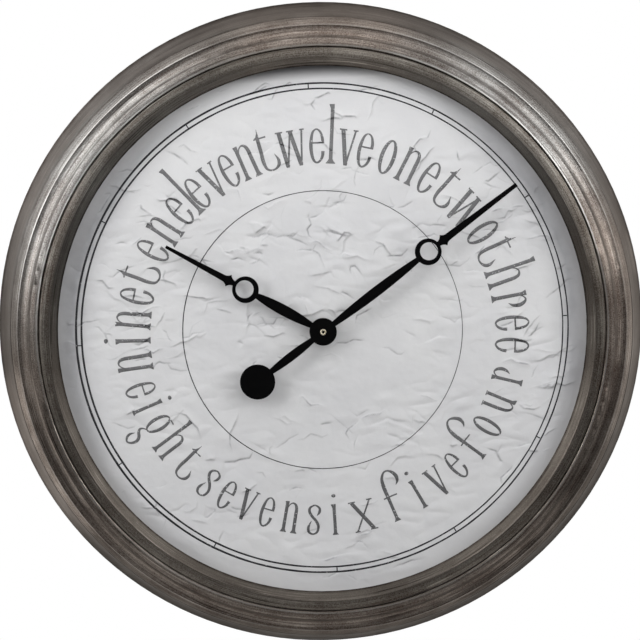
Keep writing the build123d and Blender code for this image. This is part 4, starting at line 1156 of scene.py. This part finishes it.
def print_words(material):
    """All hour words as one printed layer; the lower ones have their feet outwards."""
    cut = {letter: (width, *united(quads)) for letter, (width, quads) in GLYPHS.items()}
    places, faces = [], []
    halves = ((UPPER_WORDS, *UPPER_SETTING, 1), (LOWER_WORDS, *LOWER_SETTING, -1))
    for words, drop, base, size, way in halves:
        for word, angles in words.items():
            for letter, angle in zip(word, angles):
                width, points, triangles = cut[letter]
                across = way * (points[:, 0] - width / 2) * size / GLYPH_UNITS
                out = base + way * points[:, 1] * size / GLYPH_UNITS
                x, z = dial_place(angle, out, across)
                start = sum(len(p) for p in places)
                places.append(np.stack([x, z - drop], 1))
                faces += [tuple(v + start for v in t) for t in triangles]
    return print_layer("hour_words", np.concatenate(places), faces, material)


OUTER_LINE = (229.8, 1.62)  # mm, radius and width
INNER_LINE = (224.8, 1.45)
CENTRE_LINE = (130.6, 0.72)
RING_SEGMENTS = 1500
TICK_WIDTH = 1.05
TICK_ROWS = 5


def print_ring(name, radius, width, material):
    """A thin printed circle, a little heavier on its left."""
    turn = np.arange(RING_SEGMENTS) * 2 * pi / RING_SEGMENTS
    heavy = 1 - 0.22 * np.sin(turn + 0.2) + 0.05 * np.sin(23 * turn) + 0.04 * np.sin(57 * turn + 1)
    lanes = [radius + share * width / 2 * heavy for share in (-1, 0, 1)]
    places = np.concatenate([np.stack([r * np.sin(turn), r * np.cos(turn)], 1) for r in lanes])
    here = np.arange(RING_SEGMENTS)
    there = np.roll(here, -1)
    quads = np.stack([here, here + RING_SEGMENTS, there + RING_SEGMENTS, there], 1)
    faces = np.concatenate([quads, quads + RING_SEGMENTS]).tolist()
    return print_layer(name, places, faces, material)


def print_ticks(material):
    """Twelve short strokes between the two lines."""
    places, faces = [], []
    low, high = INNER_LINE[0] + INNER_LINE[1] / 2, OUTER_LINE[0] - OUTER_LINE[1] / 2
    for hour in range(12):
        for row in range(TICK_ROWS + 1):
            corner = len(places)
            out = low + (high - low) * row / TICK_ROWS
            places += [dial_place(30 * hour, out, side * TICK_WIDTH / 2) for side in (-1, 1)]
            if row:
                faces.append((corner - 2, corner - 1, corner + 1, corner))
    return print_layer("hour_ticks", np.array(places), faces, material)


def make_print():
    words = worn_ink("word_ink", (0.15, 0.15, 0.153), 0.75)
    lines = worn_ink("line_ink", (0.022, 0.022, 0.025), 0.4)
    layers = [
        print_words(words),
        print_ring("outer_line", *OUTER_LINE, lines),
        print_ring("inner_line", *INNER_LINE, lines),
        print_ring("centre_line", *CENTRE_LINE, lines),
        print_ticks(lines),
    ]
    for layer in layers:
        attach(layer, "clock")


# ---- scene ----

make_camera()
make_floor()
make_light()
finishes = make_finishes()
paint_nodes(finishes)
make_paper(finishes["dial_paper"])
make_hand_nut(finishes["hand_nut_brass"])
make_print()
